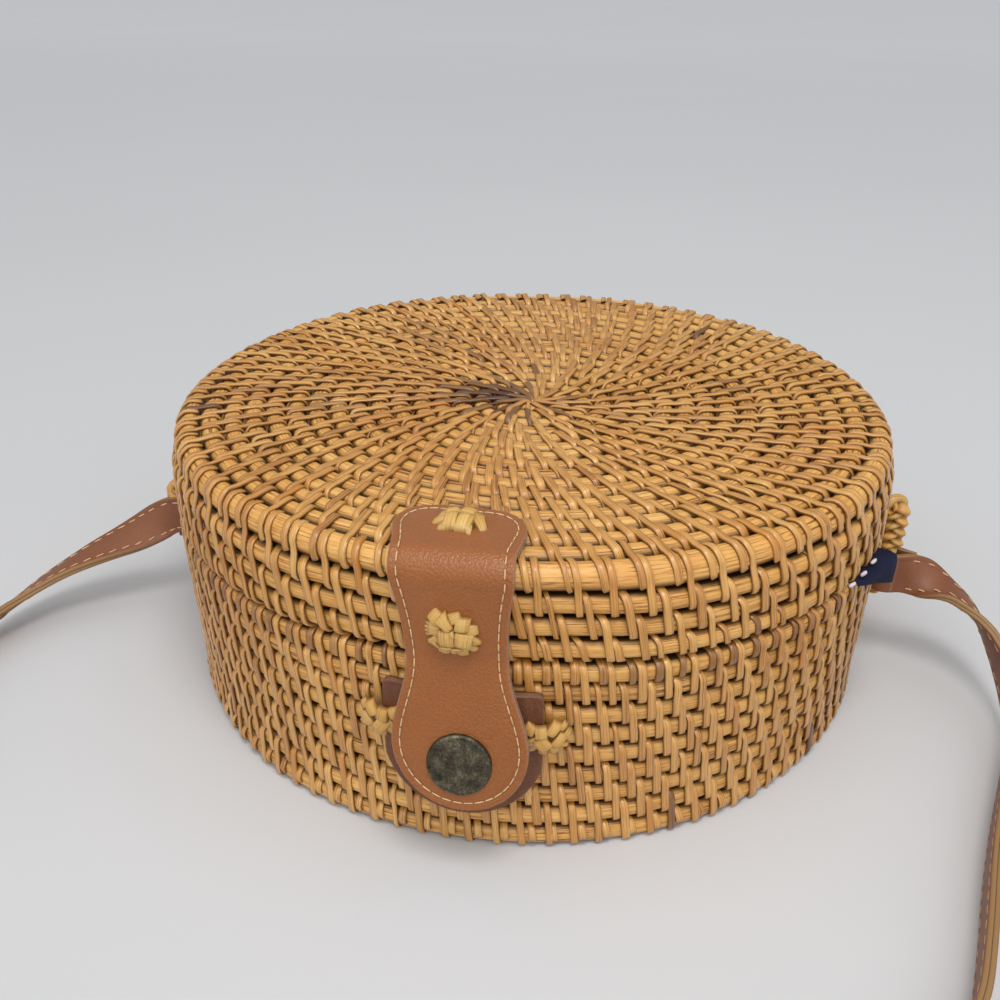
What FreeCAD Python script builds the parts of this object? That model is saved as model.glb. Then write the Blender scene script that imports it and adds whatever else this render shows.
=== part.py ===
import FreeCAD, Part

import math
import os

from FreeCAD import Placement, Rotation, Vector

os.makedirs("parts", exist_ok=True)

# Round crossbody bag of coiled rattan, lying on its back with the lid up.
# Millimetres and degrees. The origin is the centre of the resting face, +Z is up,
# the clasp is at -Y and the lid's hinge at +Y. Angles about Z count from the clasp towards +X.

# Rattan basket
bag_radius = 100.0
wall_thickness = 6.4
coil_pitch = 5.9
base_coils = 9
lid_coils = 4
coil_groove = 1.6
disc_thickness = 5.9
disc_coils = 16
corner_radius = 3.6
seam_gap = 1.2
seat_gap = 0.1
overrun = 5.0

# Cotton lining and the stays that stop the lid
lining_thickness = 0.8
lining_inset = 1.6
stay_thickness = 0.6
stay_width = 22.0
stay_hem = 13.0
stay_gap = 0.3
stay_angle = 66.5
fold_reach = 8.4
fold_drop = 8.0

# Rattan lacing of the hinge
lacing_width = 14.0
lacing_thickness = 1.1
lacing_lip = 0.8
lacing_depth = 5.0
lacing_angle = 14.0
slot_gap = 0.3

# Leather clasp strip
leather_gap = 0.3
flap_front_gap = 0.8
flap_thickness = 2.2
flap_head_half = 16.3
flap_bend_half = 13.7
flap_waist_half = 11.3
flap_head_length = 20.5
flap_head_corner = 11.0
flap_bend_radius = 3.6
flap_hinge_rise = 1.5
flap_waist_drop = 2.0
flap_lobe_radius = 15.4
flap_lobe_drop = 21.4
flap_tilt = 12.0
knuckle_gap = 0.3

# Press stud
snap_drop = 25.2
cap_radius = 7.4
cap_height = 1.6
cap_edge = 0.5
post_radius = 1.6
socket_radius = 4.6
socket_height = 1.8
socket_floor = 0.4
socket_bore = 3.2
stud_radius = 2.4
stud_height = 2.2
stud_foot_radius = 3.0
stud_foot_height = 0.4
snap_travel = 1.8

# Leather patch behind the clasp
tab_thickness = 2.0
tab_half = 18.3
tab_lobe_radius = 18.8
tab_lobe_height = 30.3
tab_top = 46.2

# Rattan rosettes
flap_knot_radius = 6.0
tab_knot_radius = 5.4
knot_height = 3.8
knot_crown = 1.8
knot_lobes = 7
shank_radius = 1.1
shank_depth = 4.0
top_knot_inset = 12.0
tab_knot_drop = 10.5
tab_knot_side = 18.65

# Braided loops for the strap
loop_stand_off = 6.6
loop_tube_radius = 2.4
loop_bend_radius = 2.6
loop_leg_width = 6.0
loop_leg_thickness = 1.2
loop_leg_depth = 5.4
loop_top_coil = 8
loop_bottom_coil = 4
loop_end_drop = 1.6
loop_end_rise = 2.4
left_loop_angle = -85.75
right_loop_angle = 89.25

# Leather strap
strap_width = 12.0
strap_thickness = 2.4
strap_floor_gap = 0.6
eye_height = 24.8
eye_gap = 0.15
eye_reach = 16.6
eye_neck = 14.0

# Hank of the strap's slack, in front of the bag
hank_x = -10.8
hank_y = -213.9
hank_angle = 7.95
hank_pitch = 6.0
hank_loop_radius = 36.0
hank_waist_half = 8.0
hank_lead = 12.0
tie_width = 7.0
tie_thickness = 0.5
tie_gap = 0.1

# The strap's route on either side of the hank, from the bag outwards on the left
# and from the hank back to the bag on the right
left_route = [
    (-116.7, -8.7, 30.8),
    (-125.2, -11.0, 27.0),
    (-136.7, -16.7, 20.5),
    (-148.3, -24.6, 14.2),
    (-156.5, -35.5, 9.4),
    (-161.2, -49.9, 7.0),
    (-161.5, -74.9, 6.6),
    (-153.4, -106.0, 6.6),
    (-140.8, -138.2, 6.6),
    (-129.8, -171.3, 6.6),
]
right_route = [
    (80.3, -161.2, 6.6),
    (96.9, -151.9, 6.6),
    (108.8, -137.0, 6.6),
    (115.2, -116.0, 6.6),
    (121.3, -92.6, 6.6),
    (128.3, -70.2, 6.6),
    (134.5, -52.3, 7.2),
    (138.3, -37.6, 10.2),
    (137.9, -23.6, 15.0),
    (133.9, -12.0, 20.6),
    (127.0, -4.3, 26.2),
    (117.0, -1.5, 30.8),
]

# Shares of the sizes that they follow
crown_flat_share = 0.5
corner_mid_share = 0.6
cap_flat_share = 0.2
waist_mid_share = 0.25
eye_flank_share = 0.92
eye_flank_reach_share = 0.39
lobe_valley_share = 0.84
bend_setback_share = 0.45
fold_profile_shares = [
    (0.0, 0.0),
    (0.12, -0.8),
    (0.86, -1.0),
    (1.0, -0.78),
    (0.66, -0.04),
    (0.25, 0.14),
]

# Worked out from the values above
up = Vector(0, 0, 1)
origin = Vector(0, 0, 0)
inner_radius = bag_radius - wall_thickness
disc_radius = inner_radius - seat_gap
base_height = base_coils * coil_pitch
lid_bottom = base_height + seam_gap
bag_height = lid_bottom + lid_coils * coil_pitch
rim_bottom = base_height - coil_pitch
lid_rim_top = lid_bottom + coil_pitch
corner_bottom = bag_height - coil_pitch
lining_radius = disc_radius
lining_inside = lining_radius - lining_thickness
flap_hinge_height = lid_bottom + flap_hinge_rise
flap_upper_bottom = flap_hinge_height + flap_thickness / 2 + knuckle_gap
flap_hinge_reach = bag_radius + flap_front_gap + flap_thickness / 2
tab_face = bag_radius + leather_gap + tab_thickness
loop_bar = bag_radius + loop_stand_off
top_knot_reach = bag_radius - top_knot_inset
front_knot_height = flap_upper_bottom + flap_knot_radius + seat_gap
tab_knot_height = tab_top - tab_knot_drop
tab_knot_angle = math.degrees(math.asin(tab_knot_side / bag_radius))


def rotated(shape, angle):
    turned = shape.copy()
    turned.rotate(origin, up, angle)
    return turned


def placed(shape, position, direction):
    moved = shape.copy()
    moved.Placement = Placement(position, Rotation(up, direction))
    return moved


def profile_point(radius, height):
    return Vector(radius, 0, height)


def line(start, end):
    return Part.LineSegment(start, end).toShape()


def arc(start, middle, end):
    return Part.Arc(start, middle, end).toShape()


def polyline(points):
    return [line(a, b) for a, b in zip(points, points[1:])]


def face_of(edges):
    return Part.Face(Part.Wire(Part.__sortEdges__(edges)))


def revolved(edges, angle=360.0):
    body = face_of(edges).revolve(origin, up, angle)
    return outward(body)


def outward(shape):
    solid = Part.Solid(shape.Shells[0]) if shape.ShapeType != "Solid" else shape
    if solid.Volume < 0:
        solid.reverse()
    return solid


def write(name, shape):
    solid = shape
    if shape.ShapeType == "Compound" and len(shape.Solids) == 1:
        solid = shape.Solids[0]
    if not solid.isValid() or len(solid.Solids) != 1:
        print("check", name, "valid", solid.isValid(), "solids", len(solid.Solids))
    solid.exportStep("parts/" + name + ".step")
    print(name, "volume", round(solid.Volume, 1))


def front_point(reach, height, side=0.0):
    return Vector(side, -reach, height)


def radial_hole(radius, reach, depth, height, angle):
    start = front_point(reach + overrun, height)
    hole = Part.makeCylinder(radius, depth + overrun, start, Vector(0, 1, 0))
    return rotated(hole, angle)


# Coiled walls and discs
def coil_arcs(bottom, coils):
    edges = []
    for i in range(coils):
        low = bottom + i * coil_pitch
        edges.append(arc(
            profile_point(bag_radius - coil_groove, low),
            profile_point(bag_radius, low + coil_pitch / 2),
            profile_point(bag_radius - coil_groove, low + coil_pitch),
        ))
    return edges


def coiled_ring(bottom, coils):
    top = bottom + coils * coil_pitch
    inner_low = profile_point(inner_radius, bottom)
    inner_high = profile_point(inner_radius, top)
    edges = coil_arcs(bottom, coils)
    edges.append(line(profile_point(bag_radius - coil_groove, top), inner_high))
    edges.append(line(inner_high, inner_low))
    edges.append(line(inner_low, profile_point(bag_radius - coil_groove, bottom)))
    return revolved(edges)


def corner_ring():
    outer_low = profile_point(bag_radius - coil_groove, corner_bottom)
    shoulder = profile_point(bag_radius, bag_height - corner_radius)
    swell_height = corner_bottom + (coil_pitch - corner_radius) * corner_mid_share
    swell = profile_point(bag_radius - coil_groove * waist_mid_share, swell_height)
    bend = corner_radius * (1 - math.sqrt(0.5))
    crown = profile_point(bag_radius - corner_radius, bag_height)
    inner_top = profile_point(inner_radius, bag_height - coil_groove)
    fall = profile_point((bag_radius - corner_radius + inner_radius) / 2,
                         bag_height - coil_groove * waist_mid_share)
    inner_low = profile_point(inner_radius, corner_bottom)
    return revolved([
        arc(outer_low, swell, shoulder),
        arc(shoulder, profile_point(bag_radius - bend, bag_height - bend), crown),
        arc(crown, fall, inner_top),
        line(inner_top, inner_low),
        line(inner_low, outer_low),
    ])


def coiled_lid_disc():
    width = disc_radius / disc_coils
    valley = bag_height - coil_groove
    edges = [line(profile_point(0, bag_height), profile_point(width, valley))]
    for i in range(1, disc_coils):
        edges.append(arc(
            profile_point(i * width, valley),
            profile_point((i + 0.5) * width, bag_height),
            profile_point((i + 1) * width, valley),
        ))
    edges += polyline([
        profile_point(disc_radius, valley),
        profile_point(disc_radius, corner_bottom),
        profile_point(0, corner_bottom),
        profile_point(0, bag_height),
    ])
    return revolved(edges)


def coiled_floor_disc():
    width = disc_radius / disc_coils
    slope = width * (1 - crown_flat_share) / 2
    points = [profile_point(0, 0), profile_point(width - slope, 0), profile_point(width, coil_groove)]
    for i in range(1, disc_coils):
        points.append(profile_point(i * width + slope, 0))
        points.append(profile_point((i + 1) * width - slope, 0))
        points.append(profile_point((i + 1) * width, coil_groove))
    points.append(profile_point(disc_radius, disc_thickness))
    points.append(profile_point(0, disc_thickness))
    return revolved(polyline(points + points[:1]))


def lining_cup(floor, edge):
    inward = 1 if edge > floor else -1
    return revolved(polyline([
        profile_point(0, floor),
        profile_point(lining_radius, floor),
        profile_point(lining_radius, edge),
        profile_point(lining_inside, edge),
        profile_point(lining_inside, floor + inward * lining_thickness),
        profile_point(0, floor + inward * lining_thickness),
        profile_point(0, floor),
    ]))


# Hinge lacing: a band across the seam with two legs between the coils
def lacing_box(low, high, inside, outside, width):
    size = Vector(width, outside - inside, high - low)
    return Part.makeBox(size.x, size.y, size.z, Vector(-width / 2, inside, low))


def hinge_lacing():
    inside = bag_radius + stay_gap
    leg = lacing_thickness / 2
    band = lacing_box(rim_bottom - lacing_lip, lid_rim_top + lacing_lip,
                      inside, inside + lacing_thickness, lacing_width)
    for height in (rim_bottom, lid_rim_top):
        band = band.fuse(lacing_box(height - leg, height + leg,
                                    bag_radius - lacing_depth, inside + leg, lacing_width))
    return band.removeSplitter()


def lacing_slot(height):
    half = lacing_thickness / 2 + slot_gap
    return lacing_box(height - half, height + half, bag_radius - lacing_depth - slot_gap,
                      bag_radius + overrun, lacing_width + 2 * slot_gap)


# Cotton stays: a strip inside the wall, and on the right a fold pinched out of the seam
def stay_strip():
    outside = lining_inside - stay_gap
    middle = base_height + seam_gap / 2
    return polyline([
        profile_point(outside, middle - stay_hem),
        profile_point(outside, middle + stay_hem),
        profile_point(outside - stay_thickness, middle + stay_hem),
        profile_point(outside - stay_thickness, middle - stay_hem),
        profile_point(outside, middle - stay_hem),
    ])


def stay_sector(edges):
    sweep = math.degrees(stay_width / lining_inside)
    sector = revolved(edges, sweep)
    return rotated(sector, -90 - sweep / 2)


def pinched_stay():
    middle = base_height + seam_gap / 2
    neck_low = middle - stay_thickness / 2
    neck_high = middle + stay_thickness / 2
    neck_in = lining_inside - stay_gap - stay_thickness / 2
    neck_out = bag_radius + stay_gap + stay_thickness
    neck = polyline([
        profile_point(neck_in, neck_low),
        profile_point(neck_out, neck_low),
        profile_point(neck_out, neck_high),
        profile_point(neck_in, neck_high),
        profile_point(neck_in, neck_low),
    ])
    fold_start = bag_radius + stay_gap
    points = [profile_point(fold_start + along * fold_reach, neck_high + drop * fold_drop)
              for along, drop in fold_profile_shares]
    fold = polyline(points + points[:1])
    return stay_sector(stay_strip()).fuse([stay_sector(neck), stay_sector(fold)]).removeSplitter()


# Rosette on its foot at the origin, looking along +Z, with a shank below
def rosette(radius, depth):
    edges = []
    step = 2 * math.pi / knot_lobes
    for i in range(knot_lobes):
        ring = [
            (i * step, lobe_valley_share),
            ((i + 0.5) * step, 1.0),
            ((i + 1) * step, lobe_valley_share),
        ]
        edges.append(arc(*[Vector(radius * r * math.cos(a), radius * r * math.sin(a), 0) for a, r in ring]))
    petals = face_of(edges).extrude(up * knot_height)
    dome_radius = (radius ** 2 + knot_crown ** 2) / (2 * knot_crown)
    dome = Part.makeSphere(dome_radius, Vector(0, 0, knot_height - dome_radius))
    shank = Part.makeCylinder(shank_radius, depth + knot_height / 2, Vector(0, 0, -depth))
    return petals.common(dome).fuse(shank).removeSplitter()


# Leather clasp strip on the lid
def flap_on_lid():
    bottom = flap_upper_bottom
    head_end = bag_radius - flap_head_length
    inside = bag_radius + flap_front_gap
    under = bag_height + leather_gap
    bend_reach = inside - flap_bend_radius
    bend_height = under - flap_bend_radius
    outer_bend = flap_bend_radius + flap_thickness
    half_turn = math.sqrt(0.5)

    def bend(radius, share):
        return front_point(bend_reach + radius * share[0], bend_height + radius * share[1])

    start, middle, end = (0, 1), (half_turn, half_turn), (1, 0)
    side = [
        line(front_point(head_end, under), bend(flap_bend_radius, start)),
        arc(*[bend(flap_bend_radius, s) for s in (start, middle, end)]),
        line(bend(flap_bend_radius, end), front_point(inside, bottom)),
        line(front_point(inside, bottom), front_point(inside + flap_thickness, bottom)),
        line(front_point(inside + flap_thickness, bottom), bend(outer_bend, end)),
        arc(*[bend(outer_bend, s) for s in (end, middle, start)]),
        line(bend(outer_bend, start), front_point(head_end, under + flap_thickness)),
        line(front_point(head_end, under + flap_thickness), front_point(head_end, under)),
    ]
    wide = flap_head_half + overrun
    strip = face_of(side).extrude(Vector(2 * wide, 0, 0))
    strip.translate(Vector(-wide, 0, 0))

    # Outline of the head, looking down
    neck = bag_radius + flap_thickness + overrun
    corner = flap_head_corner
    cut = corner * (1 - half_turn)
    plan = []
    for s in (-1, 1):
        shoulder = Vector(s * flap_bend_half, -bend_reach, 0)
        temple = Vector(s * flap_head_half, -head_end - corner, 0)
        plan += [
            line(Vector(s * flap_bend_half, -neck, 0), shoulder),
            line(shoulder, temple),
            arc(temple, Vector(s * (flap_head_half - cut), -head_end - cut, 0),
                Vector(s * (flap_head_half - corner), -head_end, 0)),
        ]
    crown = flap_head_half - corner
    plan.append(line(Vector(-crown, -head_end, 0), Vector(crown, -head_end, 0)))
    plan.append(line(Vector(-flap_bend_half, -neck, 0), Vector(flap_bend_half, -neck, 0)))
    head = face_of(plan).extrude(up * (bag_height + leather_gap + flap_thickness + overrun))

    # Outline of the front, looking along +Y
    rise = bend_height - bottom
    swell = flap_waist_half + (flap_bend_half - flap_waist_half) * waist_mid_share
    front = [line(Vector(-flap_waist_half, 0, bottom), Vector(flap_waist_half, 0, bottom))]
    for s in (-1, 1):
        front += [
            arc(Vector(s * flap_waist_half, 0, bottom), Vector(s * swell, 0, bottom + rise / 2),
                Vector(s * flap_bend_half, 0, bend_height)),
            line(Vector(s * flap_bend_half, 0, bend_height), Vector(s * wide, 0, bend_height)),
            line(Vector(s * wide, 0, bend_height), Vector(s * wide, 0, bag_height + overrun)),
        ]
    front.append(line(Vector(-wide, 0, bag_height + overrun), Vector(wide, 0, bag_height + overrun)))
    face = face_of(front).extrude(Vector(0, -neck, 0))
    return strip.common(head).common(face)


# Free end of the clasp strip, hanging from its bend line along X through the origin
def flap_free_end():
    drop = flap_lobe_drop - flap_waist_drop
    flank = (flap_waist_half ** 2 + drop ** 2 - flap_lobe_radius ** 2)
    flank = flank / (2 * (flap_lobe_radius - flap_waist_half))
    flank_x = flap_waist_half + flank
    lean = math.atan2(drop, flank_x)
    touch = Vector(flap_lobe_radius * math.cos(lean), 0,
                   flap_lobe_radius * math.sin(lean) - flap_lobe_drop)
    middle = Vector(flank_x - flank * math.cos(lean / 2), 0,
                    -flap_waist_drop - flank * math.sin(lean / 2))
    outline = []
    for s in (-1, 1):
        outline += [
            line(Vector(s * flap_waist_half, 0, 0), Vector(s * flap_waist_half, 0, -flap_waist_drop)),
            arc(Vector(s * flap_waist_half, 0, -flap_waist_drop), Vector(s * middle.x, 0, middle.z),
                Vector(s * touch.x, 0, touch.z)),
        ]
    outline.append(line(Vector(-flap_waist_half, 0, 0), Vector(flap_waist_half, 0, 0)))
    tip = Vector(0, 0, -flap_lobe_drop - flap_lobe_radius)
    outline.append(arc(Vector(-touch.x, 0, touch.z), tip, touch))
    plate = face_of(outline).extrude(Vector(0, flap_thickness, 0))
    plate.translate(Vector(0, -flap_thickness / 2, 0))
    knuckle = Part.makeCylinder(flap_thickness / 2, 2 * flap_waist_half,
                                Vector(-flap_waist_half, 0, 0), Vector(1, 0, 0))
    hole = Part.makeCylinder(post_radius + seat_gap, flap_thickness + 2 * overrun,
                             Vector(0, -flap_thickness / 2 - overrun, -snap_drop), Vector(0, 1, 0))
    return plate.fuse(knuckle).removeSplitter().cut(hole)


def on_flap(shape):
    hung = shape.copy()
    hung.Placement = Placement(front_point(flap_hinge_reach, flap_hinge_height),
                               Rotation(Vector(1, 0, 0), -flap_tilt)).multiply(shape.Placement)
    return hung


def snap_cap_shape():
    edge = profile_point(cap_radius, cap_edge)
    half_way = profile_point(cap_radius * corner_mid_share,
                             cap_edge + (cap_height - cap_edge) * (1 - corner_mid_share ** 2))
    top = profile_point(cap_radius * cap_flat_share, cap_height)
    centre = profile_point(0, cap_height)
    foot = profile_point(cap_radius, 0)
    cap = revolved(polyline([top, centre, origin, foot, edge]) + [arc(edge, half_way, top)])
    post = Part.makeCylinder(post_radius, flap_thickness + cap_edge, Vector(0, 0, -flap_thickness))
    return placed(cap.fuse(post).removeSplitter(),
                  Vector(0, -flap_thickness / 2, -snap_drop), Vector(0, -1, 0))


def snap_socket_shape():
    body = Part.makeCylinder(socket_radius, socket_height)
    bore = Part.makeCylinder(socket_bore, socket_height, Vector(0, 0, socket_floor))
    return placed(body.cut(bore), Vector(0, flap_thickness / 2, -snap_drop), Vector(0, 1, 0))


def stud_height_on_tab():
    lean = math.radians(flap_tilt - snap_travel / 2)
    mouth = flap_thickness / 2 + socket_height
    return flap_hinge_height - snap_drop * math.cos(lean) - mouth * math.sin(lean)


def snap_stud_shape():
    foot = Part.makeCylinder(stud_foot_radius, stud_foot_height)
    stud = Part.makeCylinder(stud_radius, stud_height)
    rim = [e for e in stud.Edges if e.BoundBox.ZMin > stud_foot_height]
    stud = stud.makeFillet(stud_radius * waist_mid_share, rim)
    shank = Part.makeCylinder(post_radius, tab_thickness + stud_foot_height, Vector(0, 0, -tab_thickness))
    body = stud.fuse([foot, shank]).removeSplitter()
    return placed(body, front_point(tab_face + seat_gap / 2, stud_height_on_tab()), Vector(0, -1, 0))


# Leather patch, curved to the wall
def tab_patch():
    inside = bag_radius + leather_gap
    ring = Part.makeCylinder(tab_face, tab_top).cut(Part.makeCylinder(inside, tab_top))
    lobe = tab_lobe_radius
    outline = [arc(Vector(-lobe, 0, tab_lobe_height), Vector(0, 0, tab_lobe_height - lobe),
                   Vector(lobe, 0, tab_lobe_height))]
    outline += polyline([
        Vector(lobe, 0, tab_lobe_height),
        Vector(tab_half, 0, tab_knot_height),
        Vector(tab_half, 0, tab_top),
        Vector(-tab_half, 0, tab_top),
        Vector(-tab_half, 0, tab_knot_height),
        Vector(-lobe, 0, tab_lobe_height),
    ])
    patch = ring.common(face_of(outline).extrude(Vector(0, -tab_face - overrun, 0)))
    stud_hole = radial_hole(post_radius + seat_gap, tab_face, 2 * tab_thickness, stud_height_on_tab(), 0)
    shank_hole = shank_radius + seat_gap
    holes = [radial_hole(shank_hole, tab_face, 2 * tab_thickness, tab_knot_height, s * tab_knot_angle)
             for s in (-1, 1)]
    return patch.cut(stud_hole).cut(holes[0]).cut(holes[1])


# Braided strap loop, built at the front and turned into place
def strap_loop():
    end_reach = loop_bar - loop_bend_radius
    low = loop_bottom_coil * coil_pitch - loop_end_drop
    high = loop_top_coil * coil_pitch + loop_end_rise
    bend = loop_bend_radius * math.sqrt(0.5)
    points = [
        front_point(end_reach, low),
        front_point(end_reach + bend, low + loop_bend_radius - bend),
        front_point(loop_bar, low + loop_bend_radius),
        front_point(loop_bar, high - loop_bend_radius),
        front_point(end_reach + bend, high - loop_bend_radius + bend),
        front_point(end_reach, high),
    ]
    path = Part.Wire([arc(*points[0:3]), line(points[2], points[3]), arc(*points[3:6])])
    circle = Part.Wire(Part.Circle(points[0], Vector(0, 1, 0), loop_tube_radius).toShape())
    loop = outward(path.makePipeShell([circle], True, False))
    for end in (points[0], points[5]):
        loop = loop.fuse(Part.makeSphere(loop_tube_radius, end))
    for coil in (loop_bottom_coil, loop_top_coil):
        loop = loop.fuse(loop_leg(coil, 0, loop_bar - loop_bend_radius))
    return loop.removeSplitter()


def loop_leg(coil, gap, reach):
    width = loop_leg_width + 2 * gap
    height = loop_leg_thickness + 2 * gap
    inside = bag_radius - loop_leg_depth - gap
    return Part.makeBox(width, reach - inside, height,
                        Vector(-width / 2, -reach, coil * coil_pitch - height / 2))


def strap_end():
    hole = loop_tube_radius + eye_gap
    outer = hole + strap_thickness
    flank = outer * eye_flank_share
    flank_reach = loop_bar + outer * eye_flank_reach_share
    neck = bag_radius + eye_neck
    end = bag_radius + eye_reach
    half = strap_thickness
    outline = [front_point(flank_reach, eye_height, -flank), front_point(neck, eye_height, -half),
               front_point(end, eye_height, -half), front_point(end, eye_height, half),
               front_point(neck, eye_height, half), front_point(flank_reach, eye_height, flank)]
    tongue = face_of(polyline(outline + outline[:1])).extrude(up * strap_width)
    centre = front_point(loop_bar, eye_height)
    eye = Part.makeCylinder(outer, strap_width, centre).fuse(tongue)
    return eye.cut(Part.makeCylinder(hole, strap_width, centre)).removeSplitter()


# Free stretches of the strap: straight runs joined by tangent arcs, standing on edge
def strap_stretch(name, route):
    points = [Vector(*p) for p in route]
    edges = []
    radii = []
    last = points[0]
    for before, corner, after in zip(points, points[1:], points[2:]):
        back = (before - corner).normalize()
        ahead = (after - corner).normalize()
        turn = math.pi - back.getAngle(ahead)
        setback = bend_setback_share * min(before.distanceToPoint(corner), after.distanceToPoint(corner))
        radius = setback / math.tan(turn / 2)
        radii.append(radius)
        start = corner + back * setback
        end = corner + ahead * setback
        inward = (back + ahead).normalize()
        middle = corner + inward * (radius / math.cos(turn / 2) - radius)
        edges += [line(last, start), arc(start, middle, end)]
        last = end
    edges.append(line(last, points[-1]))
    path = Part.Wire(edges)
    heading = (points[1] - points[0])
    heading.z = 0
    side = heading.normalize().cross(up) * (strap_thickness / 2)
    rise = up * (strap_width / 2)
    corners = [points[0] + side * a + rise * b for a, b in ((1, 1), (-1, 1), (-1, -1), (1, -1))]
    shell = Part.BRepOffsetAPI.MakePipeShell(path)
    shell.setBiNormalMode(up)
    shell.add(Part.makePolygon(corners + corners[:1]))
    shell.build()
    shell.makeSolid()
    stretch = outward(shell.shape())
    print(name, "radii", [round(r) for r in radii], "length", round(path.Length, 1),
          "volume", round(stretch.Volume),
          "section times length", round(strap_width * strap_thickness * path.Length))
    return stretch, path.Length


# Hank: three strands through a waist, with a loop at each end, walked as lines and arcs
def hank_steps():
    grow = hank_loop_radius + hank_pitch
    shrink = hank_loop_radius - hank_pitch
    lean = math.acos((hank_loop_radius + hank_pitch / 2) / (2 * hank_loop_radius))
    quarter = math.pi / 2
    waist = 2 * hank_waist_half
    loop = [
        (hank_loop_radius, -1, lean),
        (hank_loop_radius, 1, math.pi + 2 * lean),
        (hank_loop_radius, -1, lean),
    ]
    steps = [(hank_lead, 0, 0)]
    steps += [(grow, 1, quarter + lean), (shrink, -1, lean), (waist, 0, 0)]
    steps += loop + [(waist, 0, 0)]
    steps += [(r, -turn, angle) for r, turn, angle in loop] + [(waist, 0, 0)]
    steps += [(shrink, 1, lean), (grow, -1, lean), (hank_lead, 0, 0)]
    return steps, lean


def hank_walk():
    steps, lean = hank_steps()
    loop_centre = hank_waist_half + 2 * hank_loop_radius * math.sin(lean)
    grow = hank_loop_radius + hank_pitch
    point = Vector(-loop_centre - grow, hank_pitch / 2 + hank_lead, 0)
    heading = -math.pi / 2
    walk = []
    for size, turn, angle in steps:
        walk.append((point, heading, size, turn, angle))
        if turn == 0:
            point = point + Vector(math.cos(heading), math.sin(heading), 0) * size
        else:
            centre = point + Vector(-math.sin(heading), math.cos(heading), 0) * (turn * size)
            heading = heading + turn * angle
            point = centre - Vector(-math.sin(heading), math.cos(heading), 0) * (turn * size)
    return walk


def along(step, share, offset):
    point, heading, size, turn, angle = step
    if turn == 0:
        forward = Vector(math.cos(heading), math.sin(heading), 0)
        return point + forward * (size * share) + Vector(-forward.y, forward.x, 0) * offset
    centre = point + Vector(-math.sin(heading), math.cos(heading), 0) * (turn * size)
    later = heading + turn * angle * share
    return centre - Vector(-math.sin(later), math.cos(later), 0) * (turn * size - offset)


def hank_shape():
    walk = hank_walk()
    half = strap_thickness / 2
    edges = []
    for offset in (-half, half):
        for step in walk:
            start, middle, end = [along(step, share, offset) for share in (0, 0.5, 1)]
            edges.append(line(start, end) if step[3] == 0 else arc(start, middle, end))
    edges.append(line(along(walk[0], 0, -half), along(walk[0], 0, half)))
    edges.append(line(along(walk[-1], 1, -half), along(walk[-1], 1, half)))
    return on_hank(face_of(edges).extrude(up * strap_width), strap_floor_gap), walk


def on_hank(shape, height):
    laid = shape.copy()
    laid.Placement = Placement(Vector(hank_x, hank_y, height), Rotation(up, hank_angle))
    return laid


def hank_measures(walk):
    samples = []
    travelled = 0
    for step in walk:
        length = step[2] if step[3] == 0 else step[2] * step[4]
        count = max(2, round(length / strap_thickness))
        samples += [(along(step, i / count, 0), travelled + length * i / count) for i in range(count)]
        travelled += length
    apart = min(a.distanceToPoint(b) for a, s in samples for b, t in samples if t - s > 3 * strap_width)
    return travelled, apart - strap_thickness


def tie_shape():
    inner_half = hank_pitch + strap_thickness / 2 + tie_gap
    outer_half = inner_half + tie_thickness
    inner_high = strap_width + 2 * tie_gap
    block = Part.makeBox(tie_width, 2 * outer_half, inner_high + 2 * tie_thickness,
                         Vector(-tie_width / 2, -outer_half, -tie_thickness))
    room = Part.makeBox(tie_width, 2 * inner_half, inner_high, Vector(-tie_width / 2, -inner_half, 0))
    return on_hank(block.cut(room), strap_floor_gap - tie_gap)


# Base
loops = [("left", left_loop_angle), ("right", right_loop_angle)]
sides = [("left", -1), ("right", 1)]
leg_slots = [rotated(loop_leg(coil, slot_gap, bag_radius + overrun), angle)
             for _, angle in loops for coil in (loop_bottom_coil, loop_top_coil)]
lacing_places = [("left", lacing_angle), ("right", -lacing_angle)]
base_slots = [rotated(lacing_slot(rim_bottom), angle) for _, angle in lacing_places]
lid_slots = [rotated(lacing_slot(lid_rim_top), angle) for _, angle in lacing_places]
shank_hole = shank_radius + seat_gap
tab_knot_holes = [radial_hole(shank_hole, bag_radius, shank_depth, tab_knot_height, s * tab_knot_angle)
                  for _, s in sides]

write("base_floor", coiled_floor_disc())
base_wall = coiled_ring(0, base_coils - 1)
base_rim = coiled_ring(rim_bottom, 1)
for cutter in leg_slots + base_slots + tab_knot_holes:
    base_wall = base_wall.cut(cutter)
for cutter in leg_slots + base_slots:
    base_rim = base_rim.cut(cutter)
write("base_wall", base_wall)
write("base_rim", base_rim)
write("base_lining", lining_cup(disc_thickness + seat_gap, base_height - lining_inset))
write("snap_tab", tab_patch())
write("snap_stud", snap_stud_shape())

knot_foot = tab_face + seat_gap
for side, s in sides:
    knot = placed(rosette(tab_knot_radius, knot_foot - bag_radius + shank_depth - seat_gap),
                  front_point(knot_foot, tab_knot_height), Vector(0, -1, 0))
    write("tab_knot_" + side, rotated(knot, s * tab_knot_angle))
for side, angle in loops:
    write("strap_loop_" + side, rotated(strap_loop(), angle))
    write("strap_end_" + side, rotated(strap_end(), angle))
for side, angle in lacing_places:
    write("hinge_lacing_" + side, rotated(hinge_lacing(), angle))
write("lid_stay_left", rotated(stay_sector(stay_strip()), -stay_angle))
write("lid_stay_right", rotated(pinched_stay(), stay_angle))

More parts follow.
